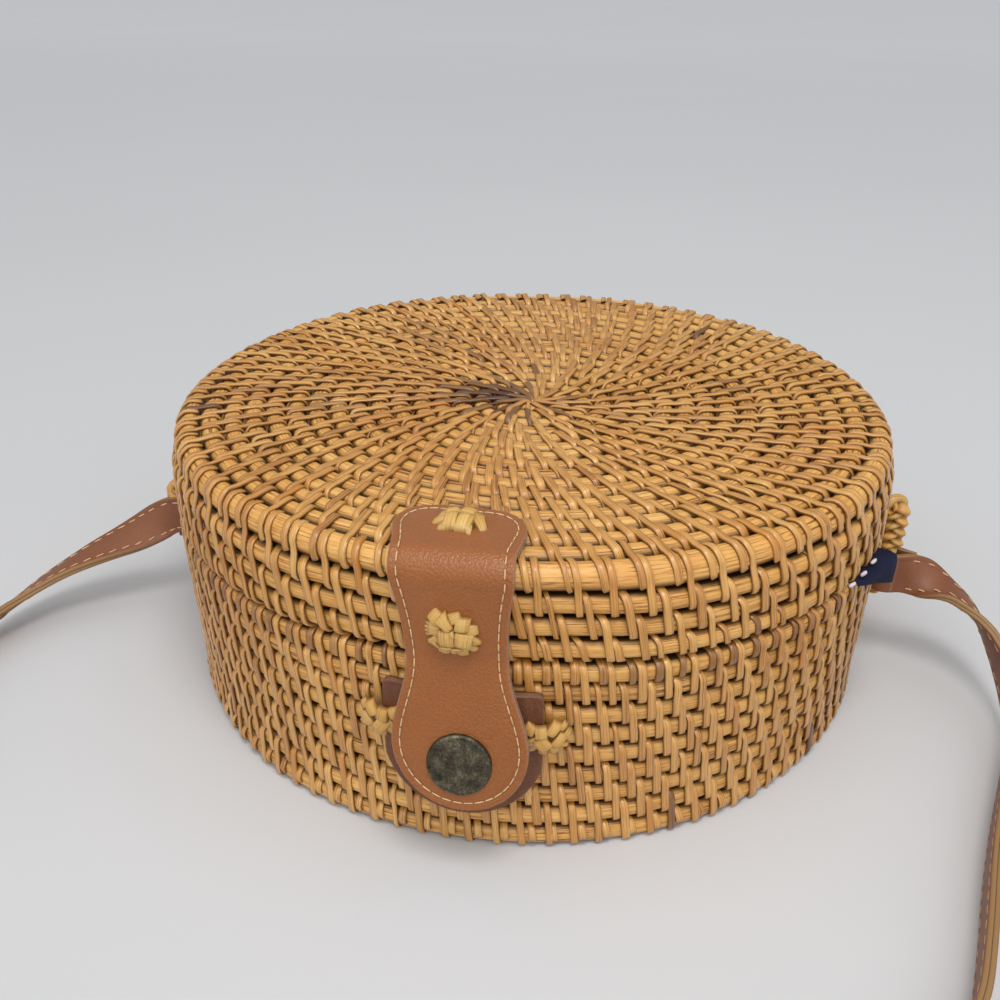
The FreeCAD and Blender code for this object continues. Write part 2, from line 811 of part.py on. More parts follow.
# Strap
hank, hank_path = hank_shape()
hank_start = hank.Placement.multVec(along(hank_path[0], 0, 0))
hank_end = hank.Placement.multVec(along(hank_path[-1], 1, 0))
floor_line = strap_floor_gap + strap_width / 2
left_end = (hank_start.x, hank_start.y, floor_line)
right_start = (hank_end.x, hank_end.y, floor_line)
left_strap, left_length = strap_stretch("strap_left", left_route + [left_end])
right_strap, right_length = strap_stretch("strap_right", [right_start] + right_route)
hank_length, hank_gap = hank_measures(hank_path)
print("hank length", round(hank_length, 1), "least gap to itself", round(hank_gap, 2),
      "strap length", round(left_length + hank_length + right_length, 1))
write("strap_left", left_strap)
write("strap_hank", hank)
write("strap_right", right_strap)
write("strap_tie", tie_shape())

# Lid
top_hole = Part.makeCylinder(shank_hole, shank_depth + overrun,
                             front_point(top_knot_reach, bag_height - shank_depth), up)
front_hole = radial_hole(shank_hole, bag_radius, shank_depth, front_knot_height, 0)
lid_wall = coiled_ring(lid_rim_top, lid_coils - 2).cut(front_hole)
lid_rim = coiled_ring(lid_bottom, 1)
for cutter in lid_slots:
    lid_wall = lid_wall.cut(cutter)
    lid_rim = lid_rim.cut(cutter)
write("lid_top", coiled_lid_disc().cut(top_hole))
write("lid_corner_rod", corner_ring())
write("lid_wall", lid_wall)
write("lid_rim", lid_rim)
write("lid_lining", lining_cup(corner_bottom - seat_gap, lid_bottom + lining_inset))
flap_holes = [
    Part.makeCylinder(shank_hole, 2 * overrun,
                      front_point(top_knot_reach, bag_height - overrun), up),
    radial_hole(shank_hole, bag_radius + flap_front_gap + flap_thickness, 2 * flap_thickness,
                front_knot_height, 0),
]
write("flap_upper", flap_on_lid().cut(flap_holes[0]).cut(flap_holes[1]))
top_lift = leather_gap + flap_thickness + seat_gap
front_lift = flap_front_gap + flap_thickness + seat_gap
write("flap_knot_top", placed(rosette(flap_knot_radius, top_lift + shank_depth - seat_gap),
                              front_point(top_knot_reach, bag_height + top_lift), up))
write("flap_knot_front", placed(rosette(flap_knot_radius, front_lift + shank_depth - seat_gap),
                                front_point(bag_radius + front_lift, front_knot_height), Vector(0, -1, 0)))

# Flap
write("flap_lower", on_flap(flap_free_end()))
write("snap_cap", on_flap(snap_cap_shape()))
write("snap_socket", on_flap(snap_socket_shape()))
print("lid hinge at", round(bag_radius + stay_gap + lacing_thickness / 2, 3),
      round(base_height + seam_gap / 2, 3))
print("flap hinge at", round(-flap_hinge_reach, 3), round(flap_hinge_height, 3),
      "stud", round(stud_height_on_tab(), 3))
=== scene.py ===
import math

import bpy
import numpy as np
from mathutils import Matrix, Vector


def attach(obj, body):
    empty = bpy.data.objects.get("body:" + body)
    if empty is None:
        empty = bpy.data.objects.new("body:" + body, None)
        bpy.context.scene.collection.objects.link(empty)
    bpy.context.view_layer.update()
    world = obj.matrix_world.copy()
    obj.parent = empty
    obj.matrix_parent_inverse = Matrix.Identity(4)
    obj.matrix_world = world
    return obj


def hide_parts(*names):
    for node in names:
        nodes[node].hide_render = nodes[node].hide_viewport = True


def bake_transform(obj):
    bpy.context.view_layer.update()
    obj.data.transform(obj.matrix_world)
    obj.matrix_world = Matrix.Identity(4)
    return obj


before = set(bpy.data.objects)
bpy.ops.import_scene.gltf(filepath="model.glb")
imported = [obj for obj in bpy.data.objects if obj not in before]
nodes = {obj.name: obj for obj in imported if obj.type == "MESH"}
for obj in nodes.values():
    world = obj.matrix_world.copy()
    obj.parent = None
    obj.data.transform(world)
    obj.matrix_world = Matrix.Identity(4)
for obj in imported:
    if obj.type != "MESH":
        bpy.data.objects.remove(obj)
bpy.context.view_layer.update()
scene = bpy.context.scene
mm = 0.001


# camera
camera = {
    "lens": 38.2456, "sensor": 36.0,
    "at": (0.040035, -0.286681, 0.190336),
    "right": (0.984997, 0.172412, 0.007419),
    "up": (-0.085050, 0.447588, 0.890186),
    "forward": (-0.150158, 0.877462, -0.455537),
}
cameraData = bpy.data.cameras.new("camera")
cameraData.lens = camera["lens"]
cameraData.sensor_width = camera["sensor"]
cameraObject = bpy.data.objects.new("camera", cameraData)
scene.collection.objects.link(cameraObject)
cameraAxes = Matrix([camera["right"], camera["up"], [-x for x in camera["forward"]]]).transposed()
cameraObject.matrix_world = Matrix.Translation(camera["at"]) @ cameraAxes.to_4x4()
scene.camera = cameraObject
print("camera set")


# mesh helpers
def quadMesh(name, verts, quads, material, **attributes):
    verts = np.asarray(verts, np.float32).reshape(-1, 3) * mm
    quads = np.asarray(quads, np.int32).reshape(-1, 4)
    mesh = bpy.data.meshes.new(name)
    mesh.vertices.add(len(verts))
    mesh.vertices.foreach_set("co", verts.ravel())
    mesh.loops.add(quads.size)
    mesh.loops.foreach_set("vertex_index", quads.ravel())
    mesh.polygons.add(len(quads))
    mesh.polygons.foreach_set("loop_start", np.arange(0, quads.size, 4, dtype=np.int32))
    mesh.polygons.foreach_set("use_smooth", np.full(len(quads), True))
    for key, values in attributes.items():
        layer = mesh.attributes.new(key, "FLOAT_VECTOR", "POINT")
        layer.data.foreach_set("vector", np.asarray(values, np.float32).ravel())
    mesh.materials.append(material)
    mesh.update(calc_edges=True)
    made = bpy.data.objects.new(name, mesh)
    scene.collection.objects.link(made)
    return made


def gridQuads(rows, columns, closeRows=False, closeColumns=False, count=1):
    i = np.arange(rows if closeRows else rows - 1)
    j = np.arange(columns if closeColumns else columns - 1)
    a, b = np.meshgrid(i, j, indexing="ij")
    a2, b2 = (a + 1) % rows, (b + 1) % columns
    corners = [a * columns + b, a2 * columns + b, a2 * columns + b2, a * columns + b2]
    one = np.stack(corners, -1).reshape(-1, 4)
    return (one + np.arange(count)[:, None, None] * rows * columns).reshape(-1, 4)


def joinSets(name, sets, material):  # sets of verts, quads, fibre and tone in one mesh
    verts, quads, fibre, tone = zip(*sets)
    starts = np.cumsum([0] + [len(v) for v in verts[:-1]])
    quads = np.concatenate([q + start for q, start in zip(quads, starts)])
    return quadMesh(name, np.concatenate(verts), quads, material,
                    fibre=np.concatenate(fibre), tone=np.concatenate(tone))


def unit(v):
    return v / np.maximum(np.linalg.norm(v, axis=-1, keepdims=True), 1e-9)


def smoothStep(x):
    x = np.clip(x, 0, 1)
    return x * x * (3 - 2 * x)


def circle(count):
    return np.linspace(0, 2 * math.pi, count, endpoint=False)


def squared(values, power):
    return np.sign(values) * np.abs(values) ** power


def triples(*parts):
    return np.stack(np.broadcast_arrays(*parts), -1).reshape(-1, 3)


def polar(r, angle, z):  # angles in radians from the clasp
    return np.stack(np.broadcast_arrays(r * np.sin(angle), -r * np.cos(angle), z), -1)


def around(angle, radius, aside=0.0):  # the same in degrees, with a step to the side
    c, s = math.cos(math.radians(angle)), math.sin(math.radians(angle))
    return np.array([radius * s + aside * c, -radius * c + aside * s])


def smoothPath(points, count):  # a curve through every point
    points = np.asarray(points, float)
    n = len(points)
    p = np.concatenate([2 * points[:1] - points[1:2], points, 2 * points[-1:] - points[-2:-1]])
    t = np.linspace(0, n - 1, count)
    k = np.minimum(t.astype(int), n - 2)
    f = (t - k)[:, None]
    a, b, c, d = (p[k + i] for i in range(4))
    square, cube = 2 * a - 5 * b + 4 * c - d, 3 * b - a - 3 * c + d
    return 0.5 * (2 * b + (c - a) * f + square * f ** 2 + cube * f ** 3)


def evenly(line, step):
    gone = np.concatenate([[0], np.cumsum(np.linalg.norm(np.diff(line, axis=0), axis=1))])
    at = np.linspace(0, gone[-1], max(3, round(gone[-1] / step) + 1))
    return np.stack([np.interp(at, gone, line[:, i]) for i in range(line.shape[1])], -1), at


def waver(local, phi, size, counts):
    return sum(local.normal(0, size) * np.sin(k * phi + local.uniform(0, 6)) for k in counts)


# materials
def plug(tree, node, inputs):
    for key, value in inputs.items():
        socket = node.inputs[int(key[1:])] if key[1:].isdigit() else node.inputs[key]
        if isinstance(value, bpy.types.NodeSocket):
            tree.links.new(value, socket)
        else:
            socket.default_value = (*value, 1) if socket.type == "RGBA" else value
    return node


def addNode(tree, kind, settings=None, **inputs):
    node = tree.nodes.new("ShaderNode" + kind)
    for key, value in (settings or {}).items():
        setattr(node, key, value)
    return plug(tree, node, inputs)


def newMaterial(name):
    material = bpy.data.materials.new(name)
    material.use_nodes = True
    tree = material.node_tree
    tree.nodes.clear()
    shader = addNode(tree, "BsdfPrincipled")
    addNode(tree, "OutputMaterial", i0=shader.outputs[0])
    return material, tree, shader


def ramp(tree, factor, stops):
    node = addNode(tree, "ValToRGB", Fac=factor)
    while len(node.color_ramp.elements) < len(stops):
        node.color_ramp.elements.new(0.5)
    for element, (place, colour) in zip(node.color_ramp.elements, stops):
        element.position = place
        element.color = (*colour, 1)
    return node.outputs[0]


def mixColour(tree, factor, a, b, blend="MIX"):
    settings = {"data_type": "RGBA", "blend_type": blend}
    return addNode(tree, "Mix", settings, i0=factor, i6=a, i7=b).outputs[2]


def maths(tree, operation, a, b=0.0, c=0.0):
    return addNode(tree, "Math", {"operation": operation}, i0=a, i1=b, i2=c).outputs[0]


def stretched(tree, place, factors):
    return addNode(tree, "VectorMath", {"operation": "MULTIPLY"}, i0=place, i1=factors).outputs[0]


def objectPlace(tree):
    return addNode(tree, "TexCoord").outputs["Object"]


def attribute(tree, name):
    return addNode(tree, "Attribute", {"attribute_name": name}).outputs["Vector"]


def noise(tree, place, scale, detail, rough=0.5, output=0):
    node = addNode(tree, "TexNoise", Vector=place, Scale=scale, Detail=detail, Roughness=rough)
    return node.outputs[output]


def roughFrom(tree, value, rough, below, above):
    return addNode(tree, "MapRange", Value=value, i3=rough - below, i4=rough + above).outputs[0]


def dress(made, inputs, bump=None, invert=False):
    material, tree, shader = made
    plug(tree, shader, inputs)
    if bump:
        height, strength, distance = bump
        node = addNode(tree, "Bump", {"invert": invert}, Height=height, Strength=strength, Distance=distance)
        plug(tree, shader, {"Normal": node.outputs[0]})
    return material


def nodeGroup(name, inputs, outputs):
    group = bpy.data.node_groups.new(name, "ShaderNodeTree")
    for label, value in inputs.items():
        kind = "NodeSocketVector" if value is None else "NodeSocketFloat"
        socket = group.interface.new_socket(label, in_out="INPUT", socket_type=kind)
        if value is not None:
            socket.default_value = value
    for label in outputs:
        group.interface.new_socket(label, in_out="OUTPUT", socket_type="NodeSocketFloat")
    return group, group.nodes.new("NodeGroupInput").outputs, group.nodes.new("NodeGroupOutput")


def makeFibreGroup():
    group, inside, outside = nodeGroup("fibreGrain", {"Place": None, "Fineness": 1.0}, ("Streak", "Blotch"))
    place = inside["Place"]
    lines = noise(group, stretched(group, place, (26.0, 2.6, 9.7)), inside["Fineness"], 3.0, 0.62)
    specks = noise(group, stretched(group, place, (240.0, 5.5, 3.1)), 1.0, 2.0, 0.6)
    both = maths(group, "MULTIPLY_ADD", maths(group, "SUBTRACT", specks, 0.5), 0.55, lines)
    slow = noise(group, stretched(group, place, (70.0, 0.25, 5.3)), 1.0, 3.0, 0.55)
    plug(group, outside, {"Streak": both, "Blotch": slow})
    return group


def makePebbleGroup():
    group, inside, outside = nodeGroup("pebbleGrain", {"Cells": 1500.0}, ("Height", "Wear"))
    place = objectPlace(group)
    warp = noise(group, place, 900.0, 2.0, output=1)
    shifted = addNode(group, "VectorMath", {"operation": "MULTIPLY_ADD"}, i0=warp, i1=(0.0006,) * 3, i2=place)
    cells = addNode(group, "TexVoronoi", {"feature": "SMOOTH_F1"}, Vector=shifted.outputs[0],
                    Scale=inside["Cells"], Smoothness=0.5)
    wear = noise(group, place, 60.0, 4.0, 0.6)
    plug(group, outside, {"Height": cells.outputs["Distance"], "Wear": wear})
    return group


def makePatchGroup():
    group, inside, outside = nodeGroup("sunPatches", {"Size": 22.0}, ("Patch",))
    plug(group, outside, {"Patch": noise(group, objectPlace(group), inside["Size"], 3.0, 0.55)})
    return group


fibreGroup = makeFibreGroup()
pebbleGroup = makePebbleGroup()
patchGroup = makePatchGroup()


def rattanMaterial(name, spec):
    made = newMaterial(name)
    tree = made[1]
    tone, brown, orange = addNode(tree, "SeparateXYZ", i0=attribute(tree, "tone")).outputs
    fibre = addNode(tree, "Group", {"node_tree": fibreGroup}, Place=attribute(tree, "fibre"),
                    Fineness=spec["fineness"])
    streak, blotch = fibre.outputs
    patch = addNode(tree, "Group", {"node_tree": patchGroup}, Size=spec["patchSize"]).outputs[0]
    spread = maths(tree, "MULTIPLY", maths(tree, "SUBTRACT", tone, 0.5), spec["spread"])
    colour = ramp(tree, maths(tree, "ADD", streak, spread), spec["stops"])
    for mask, low, share, tint in ((blotch, 0.35, "blotch", "warm"), (patch, 0.40, "patch", "sun")):
        shade = ramp(tree, mask, [(low, (0, 0, 0)), (0.62, (1, 1, 1))])
        colour = mixColour(tree, maths(tree, "MULTIPLY", shade, spec[share]), colour, spec[tint], "MULTIPLY")
    # toward the brown colour by the tone's second channel: real brown strips and stains, and painted shade on
    # rod flanks, strip edges and ends, plait insides and knot sides
    colour = mixColour(tree, brown, colour, spec["brown"])
    colour = mixColour(tree, orange, colour, spec["orange"])
    inputs = {"Base Color": colour, "Roughness": roughFrom(tree, streak, spec["rough"], 0.08, 0.12),
              "Coat Weight": spec["coat"], "Coat Roughness": 0.22}
    return dress(made, inputs, (streak, spec["bump"], 0.0004))


rodRattan = rattanMaterial("rodRattan", {
    "fineness": 1.0, "patchSize": 26.0, "spread": 0.16, "blotch": 0.45, "patch": 0.5,
    "stops": [(0.28, (0.160, 0.058, 0.0120)), (0.39, (0.53, 0.251, 0.060)),
              (0.50, (0.74, 0.408, 0.108)), (0.74, (0.86, 0.545, 0.190))],
    "warm": (0.94, 0.82, 0.66), "sun": (0.86, 0.72, 0.55),
    # brown here is the near-black painted shade on the rods' flanks by the gaps
    "brown": (0.030, 0.011, 0.004), "orange": (0.50, 0.19, 0.035),
    "bump": 0.6, "rough": 0.42, "coat": 0.15,
})
stripRattan = rattanMaterial("stripRattan", {
    "fineness": 0.8, "patchSize": 24.0, "spread": 0.30, "blotch": 0.5, "patch": 0.55,
    "stops": [(0.22, (0.29, 0.118, 0.025)), (0.40, (0.54, 0.262, 0.063)),
              (0.58, (0.68, 0.370, 0.100)), (0.80, (0.80, 0.500, 0.170))],
    "warm": (0.90, 0.76, 0.58), "sun": (0.84, 0.70, 0.52),
    # brown here colours the brown strips and stains, and the painted shade on strip edges and ends
    "brown": (0.072, 0.023, 0.010), "orange": (0.50, 0.20, 0.032),
    "bump": 0.30, "rough": 0.27, "coat": 0.48,
})
palmStrip = rattanMaterial("palmStrip", {
    "fineness": 1.1, "patchSize": 180.0, "spread": 0.25, "blotch": 0.4, "patch": 0.35,
    "stops": [(0.25, (0.40, 0.21, 0.048)), (0.45, (0.60, 0.37, 0.100)),
              (0.62, (0.70, 0.47, 0.160)), (0.85, (0.79, 0.58, 0.250))],
    "warm": (0.92, 0.76, 0.52), "sun": (0.90, 0.70, 0.44),
    # brown here is the painted shade inside the plait and on the knots' fold sides
    "brown": (0.085, 0.036, 0.010), "orange": (0.66, 0.30, 0.06),
    "bump": 0.35, "rough": 0.38, "coat": 0.12,
})


def speckledMaterial(name, colour, spec):
    made = newMaterial(name)
    tree = made[1]
    place = objectPlace(tree)
    low, high = spec["stops"]
    darker = tuple(spec["dark"] * c for c in colour)
    mixed = ramp(tree, noise(tree, place, spec["scale"], spec["detail"]), [(low, darker), (high, colour)])
    bump = (noise(tree, place, spec["twist"], 1.0), 0.4, 0.0001) if "twist" in spec else None
    return dress(made, {"Base Color": mixed, "Roughness": spec["rough"]}, bump)


core = {"dark": 0.6, "scale": 240.0, "detail": 3.0, "stops": (0.35, 0.65), "rough": 0.9}
thread = {"dark": 0.72, "scale": 700.0, "detail": 2.0, "stops": (0.35, 0.62), "rough": 0.7, "twist": 4200.0}
# near-black sheets inside the weave, painted shade standing in for the shadow seen through the gaps
shadowCore = speckledMaterial("shadowCore", (0.016, 0.007, 0.003), core)
knotCore = speckledMaterial("knotCore", (0.17, 0.080, 0.02), dict(core, rough=0.8))
threadCream = speckledMaterial("threadCream", (0.74, 0.52, 0.29), thread)
threadTan = speckledMaterial("threadTan", (0.72, 0.45, 0.23), thread)
threadPale = speckledMaterial("threadPale", (0.70, 0.60, 0.64), thread)


def leatherMaterial(name, spec):
    made = newMaterial(name)
    tree = made[1]
    height, wear = addNode(tree, "Group", {"node_tree": pebbleGroup}, Cells=spec["cells"]).outputs
    colour = ramp(tree, wear, [(0.3, spec["dark"]), (0.7, spec["light"])])
    creased = ramp(tree, height, [(0.25, (1, 1, 1)), (0.7, spec["crease"])])
    colour = mixColour(tree, 1.0, colour, creased, "MULTIPLY")
    cut, glue, _ = addNode(tree, "SeparateXYZ", i0=attribute(tree, "edge")).outputs
    colour = mixColour(tree, cut, colour, spec["edge"])
    colour = mixColour(tree, maths(tree, "MULTIPLY", cut, glue), colour, spec["glue"])
    inputs = {"Base Color": colour, "Roughness": roughFrom(tree, wear, spec["rough"], 0.06, 0.08),
              "Sheen Weight": spec["sheen"]}
    return dress(made, inputs, (height, spec["bump"], 0.00025), True)


claspLeather = leatherMaterial("claspLeather", {
    "cells": 1700.0, "dark": (0.284, 0.089, 0.0142), "light": (0.318, 0.1015, 0.0170),
    "crease": (0.93, 0.90, 0.88), "edge": (0.36, 0.17, 0.085), "glue": (0.12, 0.05, 0.03),
    "bump": 0.70, "rough": 0.36, "sheen": 0.14,
})
strapLeather = leatherMaterial("strapLeather", {
    "cells": 1900.0, "dark": (0.195, 0.067, 0.0245), "light": (0.240, 0.086, 0.034),
    "crease": (0.90, 0.86, 0.84), "edge": (0.29, 0.160, 0.060), "glue": (0.07, 0.034, 0.012),
    "bump": 0.22, "rough": 0.50, "sheen": 0.0,
})
tabLeather = leatherMaterial("tabLeather", {
    "cells": 1500.0, "dark": (0.135, 0.043, 0.0145), "light": (0.190, 0.064, 0.022),
    "crease": (0.82, 0.76, 0.72), "edge": (0.20, 0.10, 0.06), "glue": (0.10, 0.05, 0.03),
    "bump": 0.35, "rough": 0.50, "sheen": 0.0,
})


def bronzeMaterial(name):
    made = newMaterial(name)
    tree = made[1]
    place = objectPlace(tree)
    broad = noise(tree, place, 420.0, 5.0, 0.65)
    fine = noise(tree, place, 2300.0, 3.0, 0.7)
    mixed = maths(tree, "MULTIPLY_ADD", fine, 0.45, maths(tree, "MULTIPLY", broad, 0.6))
    stops = [(0.38, (0.030, 0.026, 0.018)), (0.54, (0.105, 0.092, 0.062)), (0.68, (0.27, 0.235, 0.155))]
    rough = addNode(tree, "MapRange", Value=mixed, i1=0.35, i2=0.7, i3=0.58, i4=0.30).outputs[0]
    inputs = {"Base Color": ramp(tree, mixed, stops), "Roughness": rough, "Metallic": 0.9}
    return dress(made, inputs, (mixed, 0.35, 0.0002))


def cottonMaterial(name):
    made = newMaterial(name)
    tree = made[1]
    place = objectPlace(tree)
    weave = addNode(tree, "TexVoronoi", {"feature": "F1", "distance": "CHEBYCHEV"}, Vector=place,
                    Scale=2600.0, Randomness=0.35)
    slub = noise(tree, place, 160.0, 4.0, 0.6)
    colour = ramp(tree, slub, [(0.3, (0.0045, 0.0055, 0.020)), (0.7, (0.009, 0.012, 0.040))])
    dots = addNode(tree, "TexVoronoi", {"feature": "F1"}, Vector=place, Scale=150.0, Randomness=0.75)
    spot = ramp(tree, dots.outputs["Distance"], [(0.10, (1, 1, 1)), (0.14, (0, 0, 0))])
    colour = mixColour(tree, spot, colour, (0.55, 0.50, 0.56))
    inputs = {"Base Color": colour, "Roughness": 0.88, "Specular IOR Level": 0.25}
    return dress(made, inputs, (weave.outputs["Distance"], 0.35, 0.0002))


bronze = bronzeMaterial("bronze")
navyCotton = cottonMaterial("navyCotton")
print("materials made")


# strap: control points from the left loop, round the hank and back to the right loop
strap = {
    "width": 12.0, "line": 6.6, "step": 1.4, "upright": 12.0, "taper": 6.0, "tip": 0.6, "soften": 5,
    "left": [
        (-107.2, -11.5, 33.0), (-110.3, -10.5, 32.3), (-114.0, -9.9, 30.9), (-118.4, -10.4, 28.2),
        (-124.6, -11.9, 24.6), (-131.5, -14.6, 21.6), (-139.5, -18.7, 18.3), (-148.5, -24.9, 14.0),
        (-156.5, -35.5, 9.4), (-161.2, -49.9, 7.0), (-161.5, -74.9, 6.6), (-153.4, -106.0, 6.6),
        (-140.8, -138.2, 6.6), (-129.8, -171.3, 6.6),
    ],
    "right": [
        (80.3, -161.2, 6.6), (96.9, -151.9, 6.6), (108.8, -137.0, 6.6), (115.2, -116.0, 6.6),
        (121.3, -92.6, 6.6), (128.3, -70.2, 6.6), (134.5, -52.3, 7.2), (138.3, -37.6, 10.2),
        (137.9, -23.6, 15.0), (134.2, -12.6, 20.6), (128.0, -5.9, 25.4), (121.8, -3.6, 28.3),
        (116.4, -2.8, 29.7), (113.6, -2.9, 30.4), (110.7, -3.8, 30.9), (107.6, -5.0, 31.1),
    ],
    "leftRoll": [  # distance from the left end, degrees of twist
        (0, 0), (3, 0), (6, 4), (9.5, 16), (13.5, 32), (18.6, 49), (23, 62), (28.5, 75),
        (38.5, 92), (49, 108), (61, 123), (77, 142), (91, 160), (115, 180),
    ],
    "rightRoll": [
        (0, -180), (3, -180), (7, -166), (11, -130), (16, -93), (20.5, -75), (25, -62),
        (30, -42), (36, -22), (45, -6), (53, 0),
    ],
    "hankAt": (-10.8, -213.9), "hankTurn": 7.95, "pitch": 6.0, "loop": 36.0, "waist": 16.0, "lead": 12.0,
    "hankArc": 0.5, "stitch": (2.8, 0.45, 0.40), "stitchPitch": 4.3, "stitchInset": 1.7,
    "stitchHeight": 1.16, "stitchFrom": 3.0,
}


def hankPlace(u, v, z):  # along and across the hank, where it lies
    c, s = math.cos(math.radians(strap["hankTurn"])), math.sin(math.radians(strap["hankTurn"]))
    x0, y0 = strap["hankAt"]
    return x0 + c * u - s * v, y0 + s * u + c * v, z


def leftOf(heading):
    return np.array([-math.sin(heading), math.cos(heading)])


def hankTurns():
    loop, pitch, waist, lead = (strap[key] for key in ("loop", "pitch", "waist", "lead"))
    lean = math.acos((loop + pitch / 2) / (2 * loop))
    bow = [(loop, -1, lean), (loop, 1, math.pi + 2 * lean), (loop, -1, lean)]
    walk = [(lead, 0, 0), (loop + pitch, 1, math.pi / 2 + lean), (loop - pitch, -1, lean), (waist, 0, 0)]
    walk += bow + [(waist, 0, 0)] + [(r, -side, angle) for r, side, angle in bow] + [(waist, 0, 0)]
    walk += [(loop - pitch, 1, lean), (loop + pitch, -1, lean), (lead, 0, 0)]
    at = np.array([-(waist / 2 + 2 * loop * math.sin(lean)) - loop - pitch, pitch / 2 + lead])
    heading, points = -math.pi / 2, [at]
    for size, side, angle in walk:
        if side == 0:
            at = at + size * np.array([math.cos(heading), math.sin(heading)])
            continue
        centre = at + side * size * leftOf(heading)
        count = math.ceil(angle / strap["hankArc"])
        for i in range(count):
            spin = heading + side * angle * (i + 0.5) / count
            points.append(centre - side * size / math.cos(angle / count / 2) * leftOf(spin))
        heading += side * angle
        at = centre - side * size * leftOf(heading)
    points.append(at)
    return [hankPlace(u, v, strap["line"]) for u, v in points]


def splineLine(points):
    curve = bpy.data.curves.new("strap_line", "CURVE")
    curve.dimensions = "3D"
    curve.resolution_u = 10
    spline = curve.splines.new("NURBS")
    spline.points.add(len(points) - 1)
    for point, place in zip(spline.points, points):
        point.co = (*(x * mm for x in place), 1)
    spline.order_u = 3
    spline.use_endpoint_u = True
    carrier = bpy.data.objects.new("strap_line", curve)
    scene.collection.objects.link(carrier)
    mesh = bpy.data.meshes.new_from_object(carrier)
    line = np.array([v.co for v in mesh.vertices]) / mm
    bpy.data.objects.remove(carrier)
    bpy.data.meshes.remove(mesh)
    return line


def strapFrames(line, at):
    tangent = unit(np.gradient(line, axis=0))
    lying = np.clip(np.minimum(at, at[-1] - at) / strap["upright"], 0, 1)[:, None]  # ends stand square
    upright = unit(np.array([0, 0, 1.0]) - lying * tangent * tangent[:, 2:3])
    aside = unit(np.cross(tangent, upright))
    twist = np.interp(at, *zip(*strap["leftRoll"])) + np.interp(at[-1] - at, *zip(*strap["rightRoll"]))
    kernel = np.hanning(strap["soften"] + 2)[1:-1]
    twist = np.convolve(np.pad(twist, strap["soften"] // 2, mode="edge"), kernel / kernel.sum(), mode="valid")
    c, s = np.cos(np.radians(twist))[:, None], np.sin(np.radians(twist))[:, None]
    return c * upright + s * aside, c * aside - s * upright


strapHalf = [  # across the strap, through it, cut edge, glue line
    (-5.65, 1.2, 0, 0), (-4.7, 1.2, 0, 0), (-4.3, 1.08, 0, 0), (-3.9, 1.2, 0, 0), (0.0, 1.24, 0, 0),
    (3.9, 1.2, 0, 0), (4.3, 1.08, 0, 0), (4.7, 1.2, 0, 0), (5.65, 1.2, 0, 0), (5.95, 0.95, 1, 0),
    (6.0, 0.16, 1, 0), (5.88, 0.0, 1, 1), (6.0, -0.16, 1, 0), (5.95, -0.95, 1, 0),
]
strapOutline = np.array(strapHalf + [(-x, -y, cut, glue) for x, y, cut, glue in strapHalf])


def sweepStrap(name, line, wide, deep, thin):
    rows, columns = len(line) + 4, len(strapOutline)
    verts = (line[:, None] + wide[:, None] * strapOutline[:, 0, None]
             + deep[:, None] * (strapOutline[:, 1, None] * thin[:, None, None]))
    first, last = (np.repeat(v.mean(0, keepdims=True), columns, 0)[None] for v in (verts[0], verts[-1]))
    verts = np.concatenate([first, verts[:1], verts, verts[-1:], last])
    edge = np.zeros((rows, columns, 3))
    edge[..., :2] = strapOutline[:, 2:]
    return quadMesh(name, verts, gridQuads(rows, columns, False, True), strapLeather, edge=edge)


stitchAlong = np.array([-0.5, -0.42, -0.2, 0.2, 0.42, 0.5])
stitchSwell = np.array([0.3, 0.8, 1.0, 1.0, 0.8, 0.3])[:, None]
stitchDip = np.array([-0.30, -0.05, 0.0, 0.0, -0.05, -0.30])[:, None]


def stitchRow(name, centres, alongs, normals, size, material):
    length, width, high = size
    rows = len(stitchAlong)
    ring = circle(rows)
    aside = stitchSwell * np.cos(ring) * width / 2
    lift = (stitchSwell * np.sin(ring) + stitchDip) * high / 2
    sides = np.cross(normals, alongs)
    verts = (centres[:, None, None] + alongs[:, None, None] * (stitchAlong * length)[:, None, None]
             + sides[:, None, None] * aside[..., None] + normals[:, None, None] * lift[..., None])
    return quadMesh(name, verts, gridQuads(rows, rows, False, True, len(centres)), material)


def makeStrap():
    line, at = evenly(splineLine(strap["left"] + hankTurns() + strap["right"]), strap["step"])
    wide, deep = strapFrames(line, at)
    thin = np.interp(np.minimum(at, at[-1] - at), [0, strap["taper"]], [strap["tip"], 1.0])
    ribbon = sweepStrap("strap_ribbon", line, wide, deep, thin)
    marks = np.arange(strap["stitchFrom"], at[-1] - strap["stitchFrom"], strap["stitchPitch"])
    pick = lambda values: np.stack([np.interp(marks, at, values[:, i]) for i in range(3)], -1)
    spots, wides, deeps = pick(line), unit(pick(wide)), unit(pick(deep))
    tangents = unit(pick(np.gradient(line, axis=0)))
    across, high = strap["width"] / 2 - strap["stitchInset"], strap["stitchHeight"]
    sides = [(edge, face) for edge in (-1, 1) for face in (-1, 1)]
    centres = np.concatenate([spots + wides * across * edge + deeps * high * face for edge, face in sides])
    normals = np.concatenate([deeps * face for edge, face in sides])
    alongs = np.tile(tangents, (len(sides), 1))
    stitches = stitchRow("strap_stitches", centres, alongs, normals, strap["stitch"], threadTan)
    return ribbon, stitches, line, at


loops = {
    "left": -85.75, "right": 89.25, "bar": 106.6, "bottom": 23.6,
    "leftTop": 41.6, "rightTop": 52.2, "leftBulge": 4.6, "rightBulge": 0.3,
}
eyeEnd = {  # lead, curl and tail as steps out from the bar and aside
    "rows": 60, "height": 31.0, "droop": 0.12, "curl": 3.75, "curlTurn": range(70, 291, 20),
    "lead": [(5.0, 2.2), (3.9, 2.5)], "tail": [(4.2, -2.3), (8.2, -1.3)],
    "thin": [(0, 0.3), (12, 0.7), (24, 0.96), (50, 0.96), (59, 0.4)],
}


